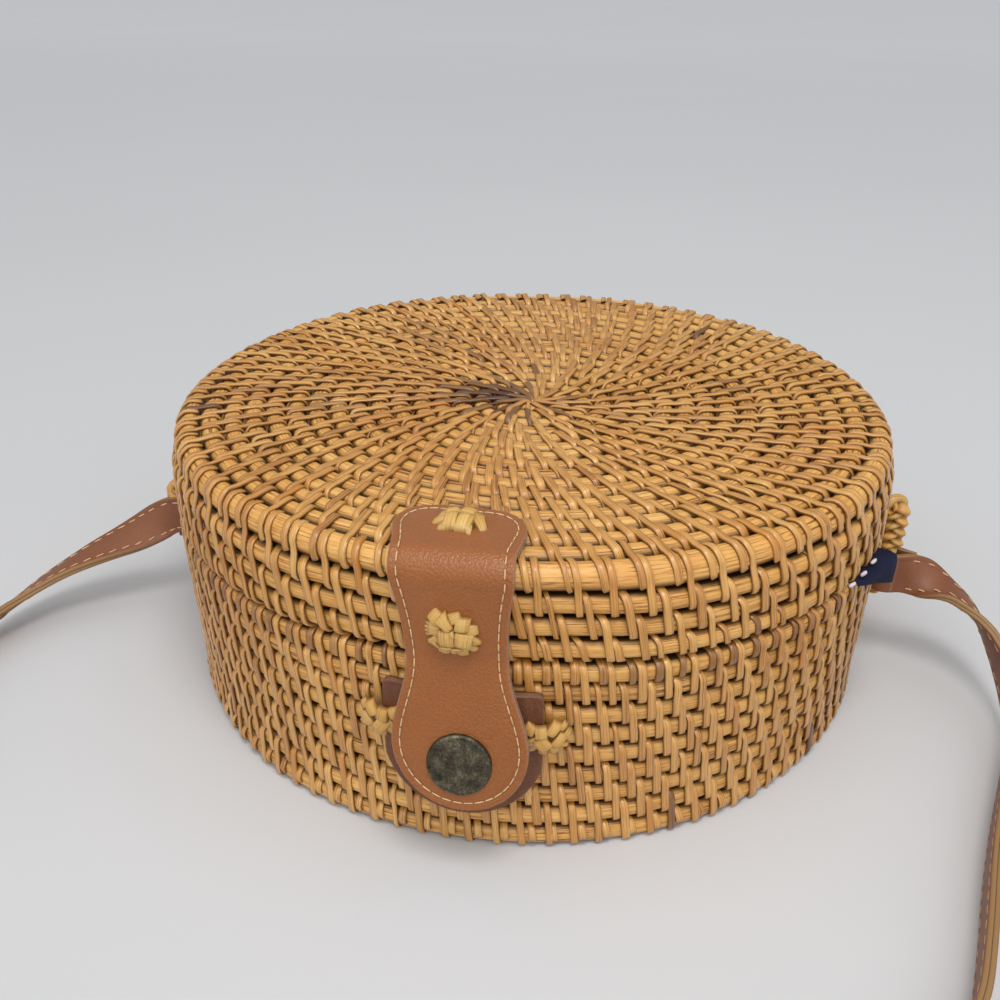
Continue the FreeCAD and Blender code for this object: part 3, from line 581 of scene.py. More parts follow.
def makeEye(side):
    curl, rows = eyeEnd["curl"], eyeEnd["rows"]
    front = 1 if side == "left" else -1  # the leaf towards the clasp runs on as the strap itself
    bend = [(curl * math.cos(math.radians(t)), curl * math.sin(math.radians(t))) for t in eyeEnd["curlTurn"]]
    plan = smoothPath(np.array(eyeEnd["lead"] + bend + eyeEnd["tail"]) * (1, front), rows)
    height = lambda u: eyeEnd["height"] - eyeEnd["droop"] * max(u, 0)
    line = np.array([[*around(loops[side], loops["bar"] + u, v), height(u)] for u, v in plan])
    wide = np.tile([0, 0, 1.0], (rows, 1))
    deep = unit(np.cross(unit(np.gradient(line, axis=0)), wide))
    thin = np.interp(np.arange(rows), *zip(*eyeEnd["thin"]))
    return sweepStrap("strap_eye_" + side, line, wide, deep, thin)


plait = {
    "strands": 3, "sides": 10, "step": 0.35, "period": 10.0, "root": 96.0, "crossing": 0.62, "flat": 0.9,
    "sway": (1.15, 0.70), "round": (1.10, 0.85),  # where thin, and what is added where full
    "opens": [36.5, 39.5], "wall": [98, 104], "inWall": 0.4, "swell": (0.92, 0.14),
}


def makePlait(side):
    angle, bar, root, sides = loops[side], loops["bar"], plait["root"], plait["sides"]
    low, high, bulge = loops["bottom"], loops[side + "Top"], loops[side + "Bulge"]
    route = [(root, low), (root + 5.5, low), (bar - 1.4, low + 1.0), (bar, low + 4.5), (bar, 30), (bar, 35.0),
             (bar + bulge, (35.5 + high) / 2), (bar + bulge, high - 2.0),
             (bar + 0.7 * bulge - 1.4, high - 0.2), (bar - 3.8, high - 1.2),
             (root + 5.0, high - 4.0), (root, high - 5.0)]
    line, at = evenly(smoothPath(route, 240), plait["step"])
    full = np.interp(line[:, 1], plait["opens"], [0.0, 1.0])
    full = full * np.interp(line[:, 0], plait["wall"], [plait["inWall"], 1.0])
    sway, round1 = (plait[key][0] + plait[key][1] * full for key in ("sway", "round"))
    even, swell = plait["swell"]
    tangent = unit(np.gradient(line, axis=0))
    cross = np.stack([-tangent[:, 1], tangent[:, 0]], -1)
    ring = circle(sides)
    sets = []
    for strand in range(plait["strands"]):
        phase = 2 * math.pi * (at / plait["period"] + strand / plait["strands"])
        lift = plait["crossing"] * sway * np.sin(2 * phase)
        heart = line + cross * (sway * np.sin(phase))[:, None]
        fat = (round1 * (even + swell * np.cos(2 * phase)))[:, None]
        plan = heart[:, None] + cross[:, None] * (fat * np.cos(ring))[..., None]
        aside = lift[:, None] + fat * np.sin(ring) * plait["flat"]
        x, y = (around(angle, 1.0)[i] * plan[..., 0] + around(angle, 0.0, 1.0)[i] * aside for i in range(2))
        fibre = triples((at * mm)[:, None], np.abs(ring - math.pi), strand * 7.0)
        away = np.linalg.norm(np.concatenate([plan - line[:, None], aside[..., None]], -1), axis=-1)
        # painted shade: strands darken on their inner sides, where they press together
        inward = 1 - away / (sway + round1)[:, None]
        warm = np.clip(0.1 + 0.15 * strand + 0.25 * np.sin(phase * 0.5 + strand), 0, 0.75)
        tone = triples(0.3 + 0.22 * strand, np.clip(1.5 * inward - 0.30, 0, 0.9), warm[:, None])
        sets.append((triples(x, y, plan[..., 1]), gridQuads(len(at), sides, False, True), fibre, tone))
    return joinSets("strap_plait_" + side, sets, palmStrip)


tieBand = {
    "half": 7.6, "high": 6.15, "wide": 3.5, "rows": 48, "square": 0.28,
    "ring": [(-1, 0.0), (-0.9, 0.35), (0, 0.45), (0.9, 0.35), (1, 0.0), (0.9, -0.1), (0, -0.1), (-0.9, -0.1)],
    "cut": [0, 4],
}


def makeTie():
    half, high, rows = tieBand["half"], tieBand["high"], tieBand["rows"]
    turn = circle(rows)
    v, w = half * squared(np.cos(turn), tieBand["square"]), high * squared(np.sin(turn), tieBand["square"])
    outward = unit(np.stack([v / half, w / high], -1))
    across, lift = np.array(tieBand["ring"]).T
    u = across * tieBand["wide"]
    verts = triples(*hankPlace(u, v[:, None] + outward[:, :1] * lift,
                               strap["line"] + (w[:, None] + outward[:, 1:] * lift)))
    edge = np.zeros((rows, len(u), 3))
    edge[:, tieBand["cut"], 0] = 1
    return quadMesh("strap_tie_band", verts, gridQuads(rows, len(u), True, True), strapLeather, edge=edge)


ribbon, ribbonStitches, strapPath, strapAt = makeStrap()
eyes = [makeEye(side) for side in ("left", "right")]
plaits = [makePlait(side) for side in ("left", "right")]
tie = makeTie()
for piece in [ribbon, ribbonStitches, tie] + eyes + plaits:
    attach(piece, "base")
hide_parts("strap_left", "strap_right", "strap_hank")
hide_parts("strap_tie")
for side, eye, plaited in zip(("left", "right"), eyes, plaits):
    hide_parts("strap_end_" + side)
    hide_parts("strap_loop_" + side)
print("strap laid, length", round(float(strapAt[-1]), 1))


# basket: rods as (radius, height, outward radial, outward vertical, half along, half out, squareness)
basket = {
    "radius": 100.0, "pitch": 5.9, "wallIn": 3.4, "wallRod": (2.34, 2.6, 0.62), "baseRods": 9,
    "nudge": {0: 0.10, 1: 0.1, 7: -0.2, 8: -0.5}, "lidRods": (56.0, 61.8, 67.6), "lidRod": (2.30, 2.6, 0.62),
    "lidTop": 77.9, "cornerIn": 3.6, "cornerDown": 4.2, "cornerHalf": 3.15, "cornerSquare": 0.9,
    "discRods": 16, "discRadius": 93.5, "floorAt": 4.0, "floorGap": 0.40, "floorRod": (2.4, 0.7),
    "topDown": 3.35, "topGap": 0.42, "topRod": (2.6, 0.75), "rodSides": 18, "rodStep": 2.2,
    "wobbleOut": (0.10, (2, 3, 5, 9)), "wobbleUp": (0.07, (3, 4, 7, 11)), "swell": (0.012, (5, 8, 13)),
    "baseWraps": 101, "lidWraps": 77,
}
warp = {  # how the weave leaves a plain round box: angles as (start, span), heights
    "flare": 1.9, "front": (0.20, 0.24), "hinge": (0.30, 0.25), "seam": [60, 70],
    "bulge": ([10, 50, 68, 74], [0, 1, 1, 0.12]), "foot": 0.9, "footFront": (-1.0, 0.5), "footHigh": [0, 13],
    "rise": 1.1, "back": (1.5, 1.0), "lid": [66, 74], "full": 96, "most": 1.1,
    "heart": (1.2, -6.0), "heartReach": 95.0, "heartFade": 1.15, "heartAbove": 65,
}


def eased(x, start, span):
    return smoothStep((x - start) / span)


def settled(angle, r, z):  # flat behind the clasp and at the hinge, wider elsewhere, the lid's back higher
    bend = np.abs((angle + math.pi) % (2 * math.pi) - math.pi)
    hinge = 1 - (1 - eased(math.pi - bend, *warp["hinge"])) * np.interp(z, warp["seam"], [1, 0])
    foot = warp["foot"] * eased(-bend, *warp["footFront"]) * np.interp(z, warp["footHigh"], [1, 0])
    side = warp["flare"] * eased(bend, *warp["front"]) * hinge * np.interp(z, *warp["bulge"])
    rise = warp["rise"] * eased(bend, *warp["back"]) * np.interp(z, warp["lid"], [0, 1])
    outwards = np.clip(r / warp["full"], 0, warp["most"]) ** 2
    return r + (side + foot) * outwards, z + rise * outwards


def heartShift(r, z):  # the lid's coil starts nearer the clasp
    inner = np.clip(1 - r / warp["heartReach"], 0, 1) ** warp["heartFade"] * (z > warp["heartAbove"])
    return warp["heart"][0] * inner, warp["heart"][1] * inner


def discRods(height, facing, gap, section):
    step = basket["discRadius"] / basket["discRods"]
    radii = [(i + 0.5) * step for i in range(basket["discRods"])]
    return [(radius, height, 0.0, facing, step / 2 - gap, *section) for radius in radii]


def wallRods(heights, section):
    return [(basket["radius"] - basket["wallIn"], height, 1.0, 0.0, *section) for height in heights]


def baseRodList():
    rows = range(basket["baseRods"])
    heights = [(i + 0.5) * basket["pitch"] + basket["nudge"].get(i, 0.0) for i in rows]
    floorRods = discRods(basket["floorAt"], -1.0, basket["floorGap"], basket["floorRod"])
    return floorRods + wallRods(heights, basket["wallRod"])


def lidRodList():
    top, slant, half = basket["lidTop"], math.sqrt(0.5), basket["cornerHalf"]
    corner = (basket["radius"] - basket["cornerIn"], top - basket["cornerDown"], slant, slant, half, half,
              basket["cornerSquare"])
    topRods = discRods(top - basket["topDown"], 1.0, basket["topGap"], basket["topRod"])
    return wallRods(basket["lidRods"], basket["lidRod"]) + [corner] + topRods[::-1]


def rodTubes(name, rods, seed):
    local = np.random.default_rng(seed)
    sides, sets = basket["rodSides"], []
    theta = circle(sides)
    for r, z, nr, nz, along, out, square in rods:
        count = int(np.clip(2 * math.pi * r / basket["rodStep"], 20, 290))
        phi = circle(count)[:, None]
        rr = r + waver(local, phi, *basket["wobbleOut"])
        zz = z + waver(local, phi, *basket["wobbleUp"])
        swell = 1 + waver(local, phi, *basket["swell"])
        c, s = squared(np.cos(theta), square), squared(np.sin(theta), square)
        offN, offT = out * c, along * s
        rr = rr + swell * (offN * nr - offT * nz)
        zz = zz + swell * (offN * nz + offT * nr)
        rr, zz = settled(phi, rr, zz)
        verts = polar(rr, phi, zz).reshape(-1, 3) + (*heartShift(r, z), 0)
        length = np.abs(phi - math.pi) * r * mm
        fibre = triples(length, np.abs(theta - math.pi) * 2.2, local.uniform(0, 50))
        shown = 0.42 if square == basket["cornerSquare"] else 0.86  # the corner rod shows more of its round
        # painted shade: each rod's flanks turn near-black toward the gaps, standing in for the shadow between
        # rods
        flankShade = np.clip((shown - c) / 0.36, 0, 0.97)
        tone = triples(local.uniform(0.25, 0.75), flankShade, np.zeros((count, 1)))
        sets.append((verts, gridQuads(count, sides, True, True), fibre, tone))
    return joinSets(name, sets, rodRattan)


def rodPlace(rod, n, t):  # n out of the rod's face, t along it
    r, z, nr, nz = rod[:4]
    return (r + n * nr - t * nz, z + n * nz + t * nr)


def rodPoint(rod, theta, extra):
    along, out, square = rod[4:]
    n = (out + extra) * math.cos(theta) ** square
    return rodPlace(rod, n, (along + extra) * math.copysign(abs(math.sin(theta)) ** square, theta))


def inGap(rod, side, depth):
    return rodPlace(rod, rod[5] - depth, side * (rod[4] + 0.4))


stripOutline = np.array([(-0.5, -0.3), (-0.5, 0.30), (-0.42, 0.52), (0.0, 0.62),
                         (0.42, 0.52), (0.5, 0.30), (0.5, -0.3)])
stripShade = np.array([0.85, 0.42, 0.07, 0.0, 0.07, 0.42, 0.85])  # painted shade: edges darker than the face, for the shadow where each strip meets the rods
stripSides = len(stripOutline)


def ribbons(paths, lateral, width, thick):  # paths: strips, points, xyz
    tangent = unit(np.gradient(paths, axis=1))
    normal = unit(np.cross(lateral, tangent))
    side = np.cross(normal, tangent)
    across, through = (stripOutline[:, i, None] for i in range(2))
    return (paths[:, :, None] + side[:, :, None] * (across * width[:, None, None, None])
            + normal[:, :, None] * (through * thick[:, None, None, None]))


def stripSet(profile, count, first, look, local):
    rows = look["rows"]
    each = lambda values: values[:, None, None]
    chance = lambda share: local.uniform(0, 1, count) < share
    jitter = local.normal(0, look["jitter"], count)
    phi = first + (np.arange(count) + jitter) * 2 * math.pi / count
    curve = smoothPath(profile, rows)
    t = np.linspace(-0.5, 0.5, rows)
    lean = look["lean"] + local.normal(0, look["leanJitter"], count)
    bow = local.normal(look["bow"], look["bowJitter"], count)
    slide = lean[:, None] * t + bow[:, None] * (t ** 2 - 0.08) * 2
    local.random(count)  # keeps the later draws in step
    r = curve[:, 0] + 0 * slide
    angle = phi[:, None] + slide / np.maximum(r, 3.0)
    z = curve[:, 1] + local.normal(0, look["lift"], count)[:, None]
    dx, dy = heartShift(r, z)
    r, z = settled(angle, r, z)
    paths = polar(r, angle, z) + np.stack([dx, dy, 0 * dx], -1)
    lateral = np.stack([np.cos(angle), np.sin(angle), 0 * angle], -1)
    width = look["width"] * local.uniform(*look["widths"], count)
    width = width * np.where(chance(look["thin"]), look["thinner"], 1.0)
    thick = look["thick"] * local.uniform(*look["thicks"], count)
    verts = ribbons(paths, lateral, width, thick)
    verts[..., 2] = np.maximum(verts[..., 2], 0.0)  # pressed flat where the bag stands
    length = np.linspace(0, 1, rows) * np.linalg.norm(np.diff(curve, axis=0), axis=1).sum() * mm
    grain = each(local.uniform(0, 90, count))
    fibre = triples(length[:, None], stripOutline[:, 0] * look["width"] * 1.4, grain)
    shade = np.clip(local.normal(look["tone"], look["toneJitter"], count), 0, 1)
    brown = chance(look["brown"]) * local.uniform(*look["brownDepth"], count)
    orange = chance(look["orange"]) * local.uniform(*look["orangeDepth"], count)
    for x, y, reach, share, depth in look["stains"]:
        away = np.hypot(paths[:, rows // 2, 0] - x, paths[:, rows // 2, 1] - y) / reach
        struck = (away < 1) * chance(share)
        brown = np.maximum(brown, np.minimum(struck * depth * (1 - 0.5 * away), 1))
    diveShade = 0.7 * np.clip((np.abs(t) - 0.40) / 0.1, 0, 1)  # painted shade where it goes under the rods
    # real brown stains together with the painted shade of the edges and ends
    dark = np.maximum(np.maximum(each(brown), stripShade), diveShade[:, None])
    tone = triples(each(shade), dark, each(orange * (brown == 0)))
    return verts.reshape(-1, 3), gridQuads(rows, stripSides, False, True, count), fibre, tone


wrap = {  # turns round a rod in radians, depths in the gap beside it
    "edge": 1.2, "edgeLift": 0.2, "shoulder": 0.5, "crown": 0.05, "corner": 0.55, "sag": 0.1, "deep": 2.6,
    "over": (-1.3, -0.8, -0.3, 0.3, 0.8, 1.3), "overDeep": 3.2,
}


def overTwo(a, b, lift):
    normal = unit(np.array([a[2] + b[2], a[3] + b[3]]))
    sag = (a[5] + b[5]) / 2 + lift - wrap["sag"]
    middle = [tuple(np.array([(a[0] + b[0]) / 2, (a[1] + b[1]) / 2]) + normal * sag)]
    if a[6] == basket["cornerSquare"]:  # the round corner rod is followed closely
        middle = [rodPoint(a, wrap["corner"], lift)] + middle
    if b[6] == basket["cornerSquare"]:
        middle = middle + [rodPoint(b, -wrap["corner"], lift)]
    steps = [(-wrap["edge"], wrap["edgeLift"]), (-wrap["shoulder"], lift), (wrap["crown"], lift)]
    start = [inGap(a, -1, wrap["deep"])] + [rodPoint(a, turn, high) for turn, high in steps]
    end = [rodPoint(b, -turn, high) for turn, high in reversed(steps)] + [inGap(b, 1, wrap["deep"])]
    return start + middle + end


def aroundOne(a, lift):
    over = [rodPoint(a, turn, lift) for turn in wrap["over"]]
    return [inGap(a, -1, wrap["overDeep"])] + over + [inGap(a, 1, wrap["overDeep"])]


wallLook = {
    "rows": 17, "jitter": 0.045, "lift": 0.08, "lean": -1.9, "leanJitter": 0.35, "bow": 0.0,
    "bowJitter": 0.15, "width": 1.9, "widths": (0.82, 1.15), "thin": 0.06, "thinner": 0.62,
    "thick": 0.80, "thicks": (0.85, 1.15), "tone": 0.5, "toneJitter": 0.22, "brown": 0.003,
    "brownDepth": (0.5, 0.95), "orange": 0.03, "orangeDepth": (0.3, 0.8), "stains": [],
}


def baseStrips(rods):
    local = np.random.default_rng(21)
    sets, disc, count = [], basket["discRods"], basket["baseWraps"]
    first, turn = 0.0, 2 * math.pi / count
    for k in range(1, disc - 1):
        ringCount = max(9, round(2 * math.pi * (rods[k][0] + 2.9) / 7.0))
        look = dict(wallLook, lean=1.4, tone=0.42, rows=12)
        sets.append(stripSet(overTwo(rods[k], rods[k + 1], 0.3), ringCount, local.uniform(0, 6), look, local))
    for k in range(disc - 1, len(rods) - 1):
        first -= 0.40 * turn
        look = dict(wallLook, tone=0.55, brown=0.004)
        if k == disc:
            look.update(orange=0.22, brown=0.08)
        sets.append(stripSet(overTwo(rods[k], rods[k + 1], 0.34), count, first, look, local))
    rim = dict(wallLook, lean=-0.5, brown=0.9, orange=0.0, tone=0.35, brownDepth=(0.30, 0.62))
    sets.append(stripSet(aroundOne(rods[-1], 0.3), count, first - 0.42 * turn, rim, local))
    return joinSets("base_strips", sets, stripRattan)


lidStains = [  # place on the lid, reach, share of strips stained, depth
    (-12.5, -3.5, 13.0, 0.95, 1.1), (-57.0, -20.0, 9.0, 0.6, 0.55), (59.0, 18.0, 9.0, 0.6, 0.60),
    (-48.0, 42.0, 16.0, 0.5, 0.55), (-45.0, -38.0, 7.0, 0.4, 0.35),
]
# least radius, strips
topCounts = [(80, 77), (66, 66), (52, 55), (40, 44), (29, 34), (19, 25), (9, 17), (0, 10)]
lidLeans = [-3.4, -3.6, -2.9, -3.4]


def lidStrips(rods):
    local = np.random.default_rng(33)
    count = basket["lidWraps"]
    first, turn = 0.02, 2 * math.pi / count
    rim = dict(wallLook, lean=-3.4, width=1.7, leanJitter=0.5, tone=0.6)
    sets = [stripSet(aroundOne(rods[0], 0.3), count, first, rim, local)]
    for k, lean in enumerate(lidLeans):
        first -= 0.42 * turn
        look = dict(wallLook, tone=0.55, lean=lean)
        sets.append(stripSet(overTwo(rods[k], rods[k + 1], 0.36), count, first, look, local))
    for k in range(len(lidLeans), len(rods) - 1):
        radius = rods[k][0] - 2.9
        count = next(n for least, n in topCounts if radius >= least)
        first -= 0.40 * 2 * math.pi / count
        look = dict(wallLook, lean=-4.0, bow=0.2, tone=0.52, orange=0.04, stains=lidStains,
                    brown=0.68 if 9 < radius < 17 else 0.004, width=2.0 if radius > 20 else 1.7)
        sets.append(stripSet(overTwo(rods[k], rods[k + 1], 0.38), count, first, look, local))
    return joinSets("lid_strips", sets, stripRattan)


for body, rods, makeStrips, seed, replaced in (
        ("base", baseRodList(), baseStrips, 5, ("base_wall", "base_rim", "base_floor")),
        ("lid", lidRodList(), lidStrips, 6, ("lid_wall", "lid_rim", "lid_corner_rod", "lid_top"))):
    tubes, wraps = rodTubes(body + "_rods", rods, seed), makeStrips(rods)
    for piece in (tubes, wraps):
        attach(piece, body)
    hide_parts(*replaced)
shadowCores = {  # painted shade: dark sheets inside the weave that stand in for the shadow behind the gaps: radius, height
    "base": [(0.01, 4.0), (95.6, 4.0), (95.6, 52.0), (93.6, 52.0), (93.6, 5.9), (0.01, 5.9)],
    "lid": [(0.01, 72.0), (93.6, 72.0), (93.6, 55.4), (95.6, 55.4), (95.6, 74.2), (0.01, 74.2)],
}
for body, profile in shadowCores.items():
    phi, (r, z) = circle(180)[:, None], np.array(profile).T
    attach(quadMesh(body + "_core", polar(r, phi, z), gridQuads(180, len(profile), True), shadowCore), body)
print("basket woven")


# clasp
flap = {
    "thick": 2.2, "headEnd": -79.5, "height": 79.3, "headHalf": 16.7, "headLength": 17.7, "corner": 11.0,
    "bendHalf": 13.5, "bendRadius": 4.7, "frontLength": 18.8, "waistHalf": 11.3, "tilt": 12.0,
    "lobeAt": 21.4, "lobe": 15.4, "lean": 0.06, "aside": -0.65,
    "stitchInset": 1.95, "stitch": (2.2, 0.34, 0.36), "stitchPitch": 2.5, "borderStep": 0.3,
    "capAt": 25.2, "capRadius": 7.4, "capHeight": 1.6, "topKnotAt": 8.5, "frontKnotUp": 6.8,
}
flapBendEnd = flap["headLength"] + flap["bendRadius"] * math.pi / 2
flapHinge = flapBendEnd + flap["frontLength"]
flapEnd = flapHinge + flap["lobeAt"] + flap["lobe"]


def chord(radius, away):
    return np.sqrt(np.maximum(radius ** 2 - away ** 2, 0))


def rounded(half, s, corner):  # a quarter round where a strip begins
    return half - corner + chord(corner, np.clip(corner - s, 0, None))


def flapHalf(s):
    waist, lobeAt, bendHalf = flap["waistHalf"], flap["lobeAt"], flap["bendHalf"]
    head = flap["headHalf"] + (bendHalf - flap["headHalf"]) * s / flap["headLength"]
    front = np.clip((s - flapBendEnd) / (flapHinge - flapBendEnd), 0, 1)
    front = waist + (bendHalf - waist) * (1 - front) ** 2
    low = s - flapHinge
    lower = waist + (flap["lobe"] - waist) * smoothStep((low - 1.0) / (lobeAt - 1.0))
    lower = np.where(low < lobeAt, lower, chord(flap["lobe"], low - lobeAt))
    front = np.where(low < 0, front, lower)
    return np.where(s < flap["headLength"], rounded(head, s, flap["corner"]), front)


def flapTable():
    s = np.linspace(0, flapEnd, 1200)
    bend = np.clip((s - flap["headLength"]) / (flapBendEnd - flap["headLength"]), 0, 1) * math.pi / 2
    bend = bend - math.radians(flap["tilt"]) * smoothStep((s - flapHinge + 2.5) / 5.0)
    between = (bend[1:] + bend[:-1]) / 2
    y, z = (np.concatenate([[0], np.cumsum(run(between) * (s[1] - s[0]))]) for run in (np.cos, np.sin))
    return s, flap["headEnd"] - y, flap["height"] - z, bend


flapPath = flapTable()


def onFlap(s, x, height):
    y, z, bend = (np.interp(s, flapPath[0], values) for values in flapPath[1:])
    x = x + flap["aside"] + flap["lean"] * (s - flapHinge)
    return np.stack([x, y - np.sin(bend) * height, z + np.cos(bend) * height], -1)


def flapMiddle(s, height):
    return onFlap(np.array([s]), np.zeros(1), np.array([height]))[0]


tab = {
    "face": 101.35, "thick": 2.0, "half": 18.3, "lobe": 18.8, "lobeAt": 30.3, "top": 46.2, "corner": 0.9,
    "inset": 2.2, "knotAt": 35.7, "knotAngle": 10.75, "knotOut": 102.35,
}


def tabHalf(s):
    lobe = chord(tab["lobe"], np.minimum(tab["top"] - s - tab["lobeAt"], 0))
    return rounded(np.minimum(lobe, tab["half"]), s, tab["corner"])


def onTab(s, x, height):
    return polar(tab["face"] + height, x / tab["face"], tab["top"] - s)


def patchOutline(half, rows):
    h = half(rows)
    return np.concatenate([np.stack([rows, h], -1), np.stack([rows, -h], -1)[::-1]])


patch = {
    "columns": 61, "edge": 0.55, "groove": 0.17, "grooveWidth": 0.5, "puff": 0.10, "puffReach": 5.0,
    "cut": 0.22, "borderStep": 0.4,
}


def leatherPatch(name, half, place, rows, thick, inset, material):
    columns, edge = patch["columns"], patch["edge"]
    t = np.sin(np.linspace(-math.pi / 2, math.pi / 2, columns))
    s = np.repeat(rows[:, None], columns, 1)
    x = half(rows)[:, None] * t
    border, _ = evenly(patchOutline(half, rows), patch["borderStep"])
    parts = np.array_split(np.stack([s, x], -1).reshape(-1, 2), 40)
    near = np.concatenate([np.linalg.norm(part[:, None] - border, axis=-1).min(1) for part in parts])
    near = near.reshape(s.shape)
    near[:, [0, -1]] = 0
    near[[0, -1]] = 0
    drop = -rounded(0, near, edge)
    groove = patch["groove"] * np.exp(-((near - inset) / patch["grooveWidth"]) ** 2)
    puff = patch["puff"] * smoothStep((near - inset) / patch["puffReach"])
    flat = place(s, x, 0 * x)
    upper, lower = place(s, x, thick / 2 - drop - groove + puff), place(s, x, -(thick / 2 - drop))
    closed = lambda top, under: np.concatenate([top, flat[:, -1:], under[:, ::-1], flat[:, :1]], 1)
    ends = closed(flat, flat)
    verts = np.concatenate([ends[:1], closed(upper, lower), ends[-1:]])
    cut, ones = np.exp(-(near / patch["cut"]) ** 2), np.ones((len(rows), 1))
    face = np.concatenate([cut, ones, cut[:, ::-1], ones], 1)
    glue = np.concatenate([0 * cut, ones, 0 * cut, ones], 1)
    marks = np.stack([face, glue, 0 * face], -1)
    marks = np.concatenate([marks[:1], marks, marks[-1:]])
    return quadMesh(name, verts, gridQuads(len(rows) + 2, 2 * columns + 2, False, True), material, edge=marks)


def makeFlapStitches(rows):
    inset, height = flap["stitchInset"], flap["thick"] / 2
    border, _ = evenly(patchOutline(flapHalf, rows), flap["borderStep"])
    ahead = unit(np.roll(border, -2, 0) - np.roll(border, 2, 0))
    inward = np.stack([ahead[:, 1], -ahead[:, 0]], -1)
    if ((border.mean(0) - border) * inward).sum() < 0:
        inward = -inward
    inner = border + inward * inset
    inner = inner[[np.linalg.norm(border - p, axis=1).min() > inset * 0.93 for p in inner]]
    spots = evenly(np.concatenate([inner, inner[:1]]), flap["stitchPitch"])[0][:-1]
    ahead = unit(np.roll(spots, -1, 0) - np.roll(spots, 1, 0)) * 0.3
    at = lambda flat, h: onFlap(flat[:, 0], flat[:, 1], np.full(len(flat), h))
    centres = at(spots, height)
    alongs = unit(at(spots + ahead, height) - at(spots - ahead, height))
    normals = unit(at(spots, height + 0.5) - centres)
    return stitchRow("flap_stitches", centres, alongs, normals, flap["stitch"], threadCream)


def patchRows(corner, lobeAt, lobe, counts):  # closer together at the round ends
    first, straight, last = counts
    quarter = lambda count: np.linspace(0, math.pi / 2, count)
    start = corner * (1 - np.cos(quarter(first)))[:-1]
    end = lobeAt + lobe * np.sin(quarter(last))
    return np.concatenate([start, np.linspace(corner, lobeAt, straight)[:-1], end])


flapRows = patchRows(flap["corner"], flapHinge + flap["lobeAt"], flap["lobe"], (18, 96, 34))
flapLeather = leatherPatch("flap_leather", flapHalf, onFlap, flapRows, flap["thick"], flap["stitchInset"],
                           claspLeather)
flapStitches = makeFlapStitches(flapRows)
for piece in (flapLeather, flapStitches):
    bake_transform(piece)
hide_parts("flap_upper", "flap_lower")

tabRows = patchRows(tab["corner"], tab["top"] - tab["lobeAt"], tab["lobe"], (8, 30, 30))
tabPatch = leatherPatch("snap_tab_leather", tabHalf, onTab, tabRows, tab["thick"], tab["inset"], tabLeather)
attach(tabPatch, "base")
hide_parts("snap_tab")


def turned(name, profile, centre, axis, segments, material):
    axis = unit(np.array(axis, float))
    first = unit(np.cross(axis, [1.0, 0, 0.001]))
    second = np.cross(axis, first)
    phi = circle(segments)[:, None]
    r, high = np.array(profile).T
    verts = (np.array(centre) + axis * high[:, None] + first * (r * np.cos(phi))[..., None]
             + second * (r * np.sin(phi))[..., None])
    return quadMesh(name, verts, gridQuads(segments, len(profile), True), material)


def makeCap():
    seat = flapMiddle(flapHinge + flap["capAt"], flap["thick"] / 2 + 0.02)
    tilt, r, h = math.radians(flap["tilt"]), flap["capRadius"], flap["capHeight"]
    profile = [(r * 0.90, -0.1), (r, 0.05), (r, 0.45), (r * 0.985, 0.85), (r * 0.95, 1.12), (r * 0.90, 1.22),
               (r * 0.86, 1.18), (r * 0.80, 1.22), (r * 0.6, h - 0.18), (r * 0.35, h - 0.05), (0.02, h)]
    return turned("snap_cap_dome", profile, seat, (0, -math.cos(tilt), math.sin(tilt)), 96, bronze)


cap = makeCap()
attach(cap, "flap")
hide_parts("snap_cap")


# rosettes: folds of palm strip on a low dome as (across, up, turn, length, width, lift, taper, tilt)
frontFolds = [
    (-1.3, -0.6, 96, 4.1, 3.4, 0.95, -0.1, 0.0), (2.4, -0.9, 82, 3.7, 3.6, 0.90, -0.15, 0.0),
    (2.1, 2.7, 80, 3.2, 3.2, 0.55, 0.0, 0.15), (-1.6, 3.1, -58, 3.9, 2.8, 0.90, 0.45, 0.15),
    (-3.9, 3.9, 58, 3.1, 2.8, 0.35, 0.0, -0.15), (4.7, -1.3, -12, 3.0, 3.0, 0.15, 0.85, 0.30),
    (-1.9, -3.8, -98, 2.6, 3.4, -0.05, 0.35, 0.25), (2.0, -4.0, -80, 2.6, 3.4, -0.05, 0.35, 0.25),
    (0.1, -4.2, -90, 2.0, 2.2, -0.30, 0.5, 0.1), (-4.2, -2.1, -150, 3.0, 2.8, 0.0, 0.6, 0.30),
    (4.1, -3.0, -42, 2.6, 2.6, -0.10, 0.6, 0.25), (4.1, 1.3, 12, 2.6, 3.0, -0.05, 0.4, 0.0),
    (-4.1, 1.0, 178, 2.8, 3.2, 0.10, 0.1, 0.1), (0.1, 0.9, 92, 1.6, 1.4, 1.10, 0.7, 0.15),
    (0.4, 4.2, 30, 2.6, 2.4, 0.10, 0.3, 0.0), (-3.5, -2.8, -38, 2.6, 0.55, 0.55, 0.0, 0.0),
    (-1.4, -3.0, 12, 2.6, 0.55, 0.70, 0.0, 0.0), (0.9, -3.1, -10, 2.5, 0.55, 0.70, 0.0, 0.0),
    (3.2, -2.8, 28, 2.6, 0.55, 0.55, 0.0, 0.0), (-5.3, 1.7, 170, 2.4, 0.8, -0.5, 0.4, 0.0),
    (-5.6, 0.9, 179, 2.7, 0.8, -0.5, 0.4, 0.0), (-5.6, 0.0, 185, 2.6, 0.8, -0.5, 0.4, 0.0),
    (-5.3, -0.8, 197, 2.4, 0.8, -0.5, 0.4, 0.0),
]
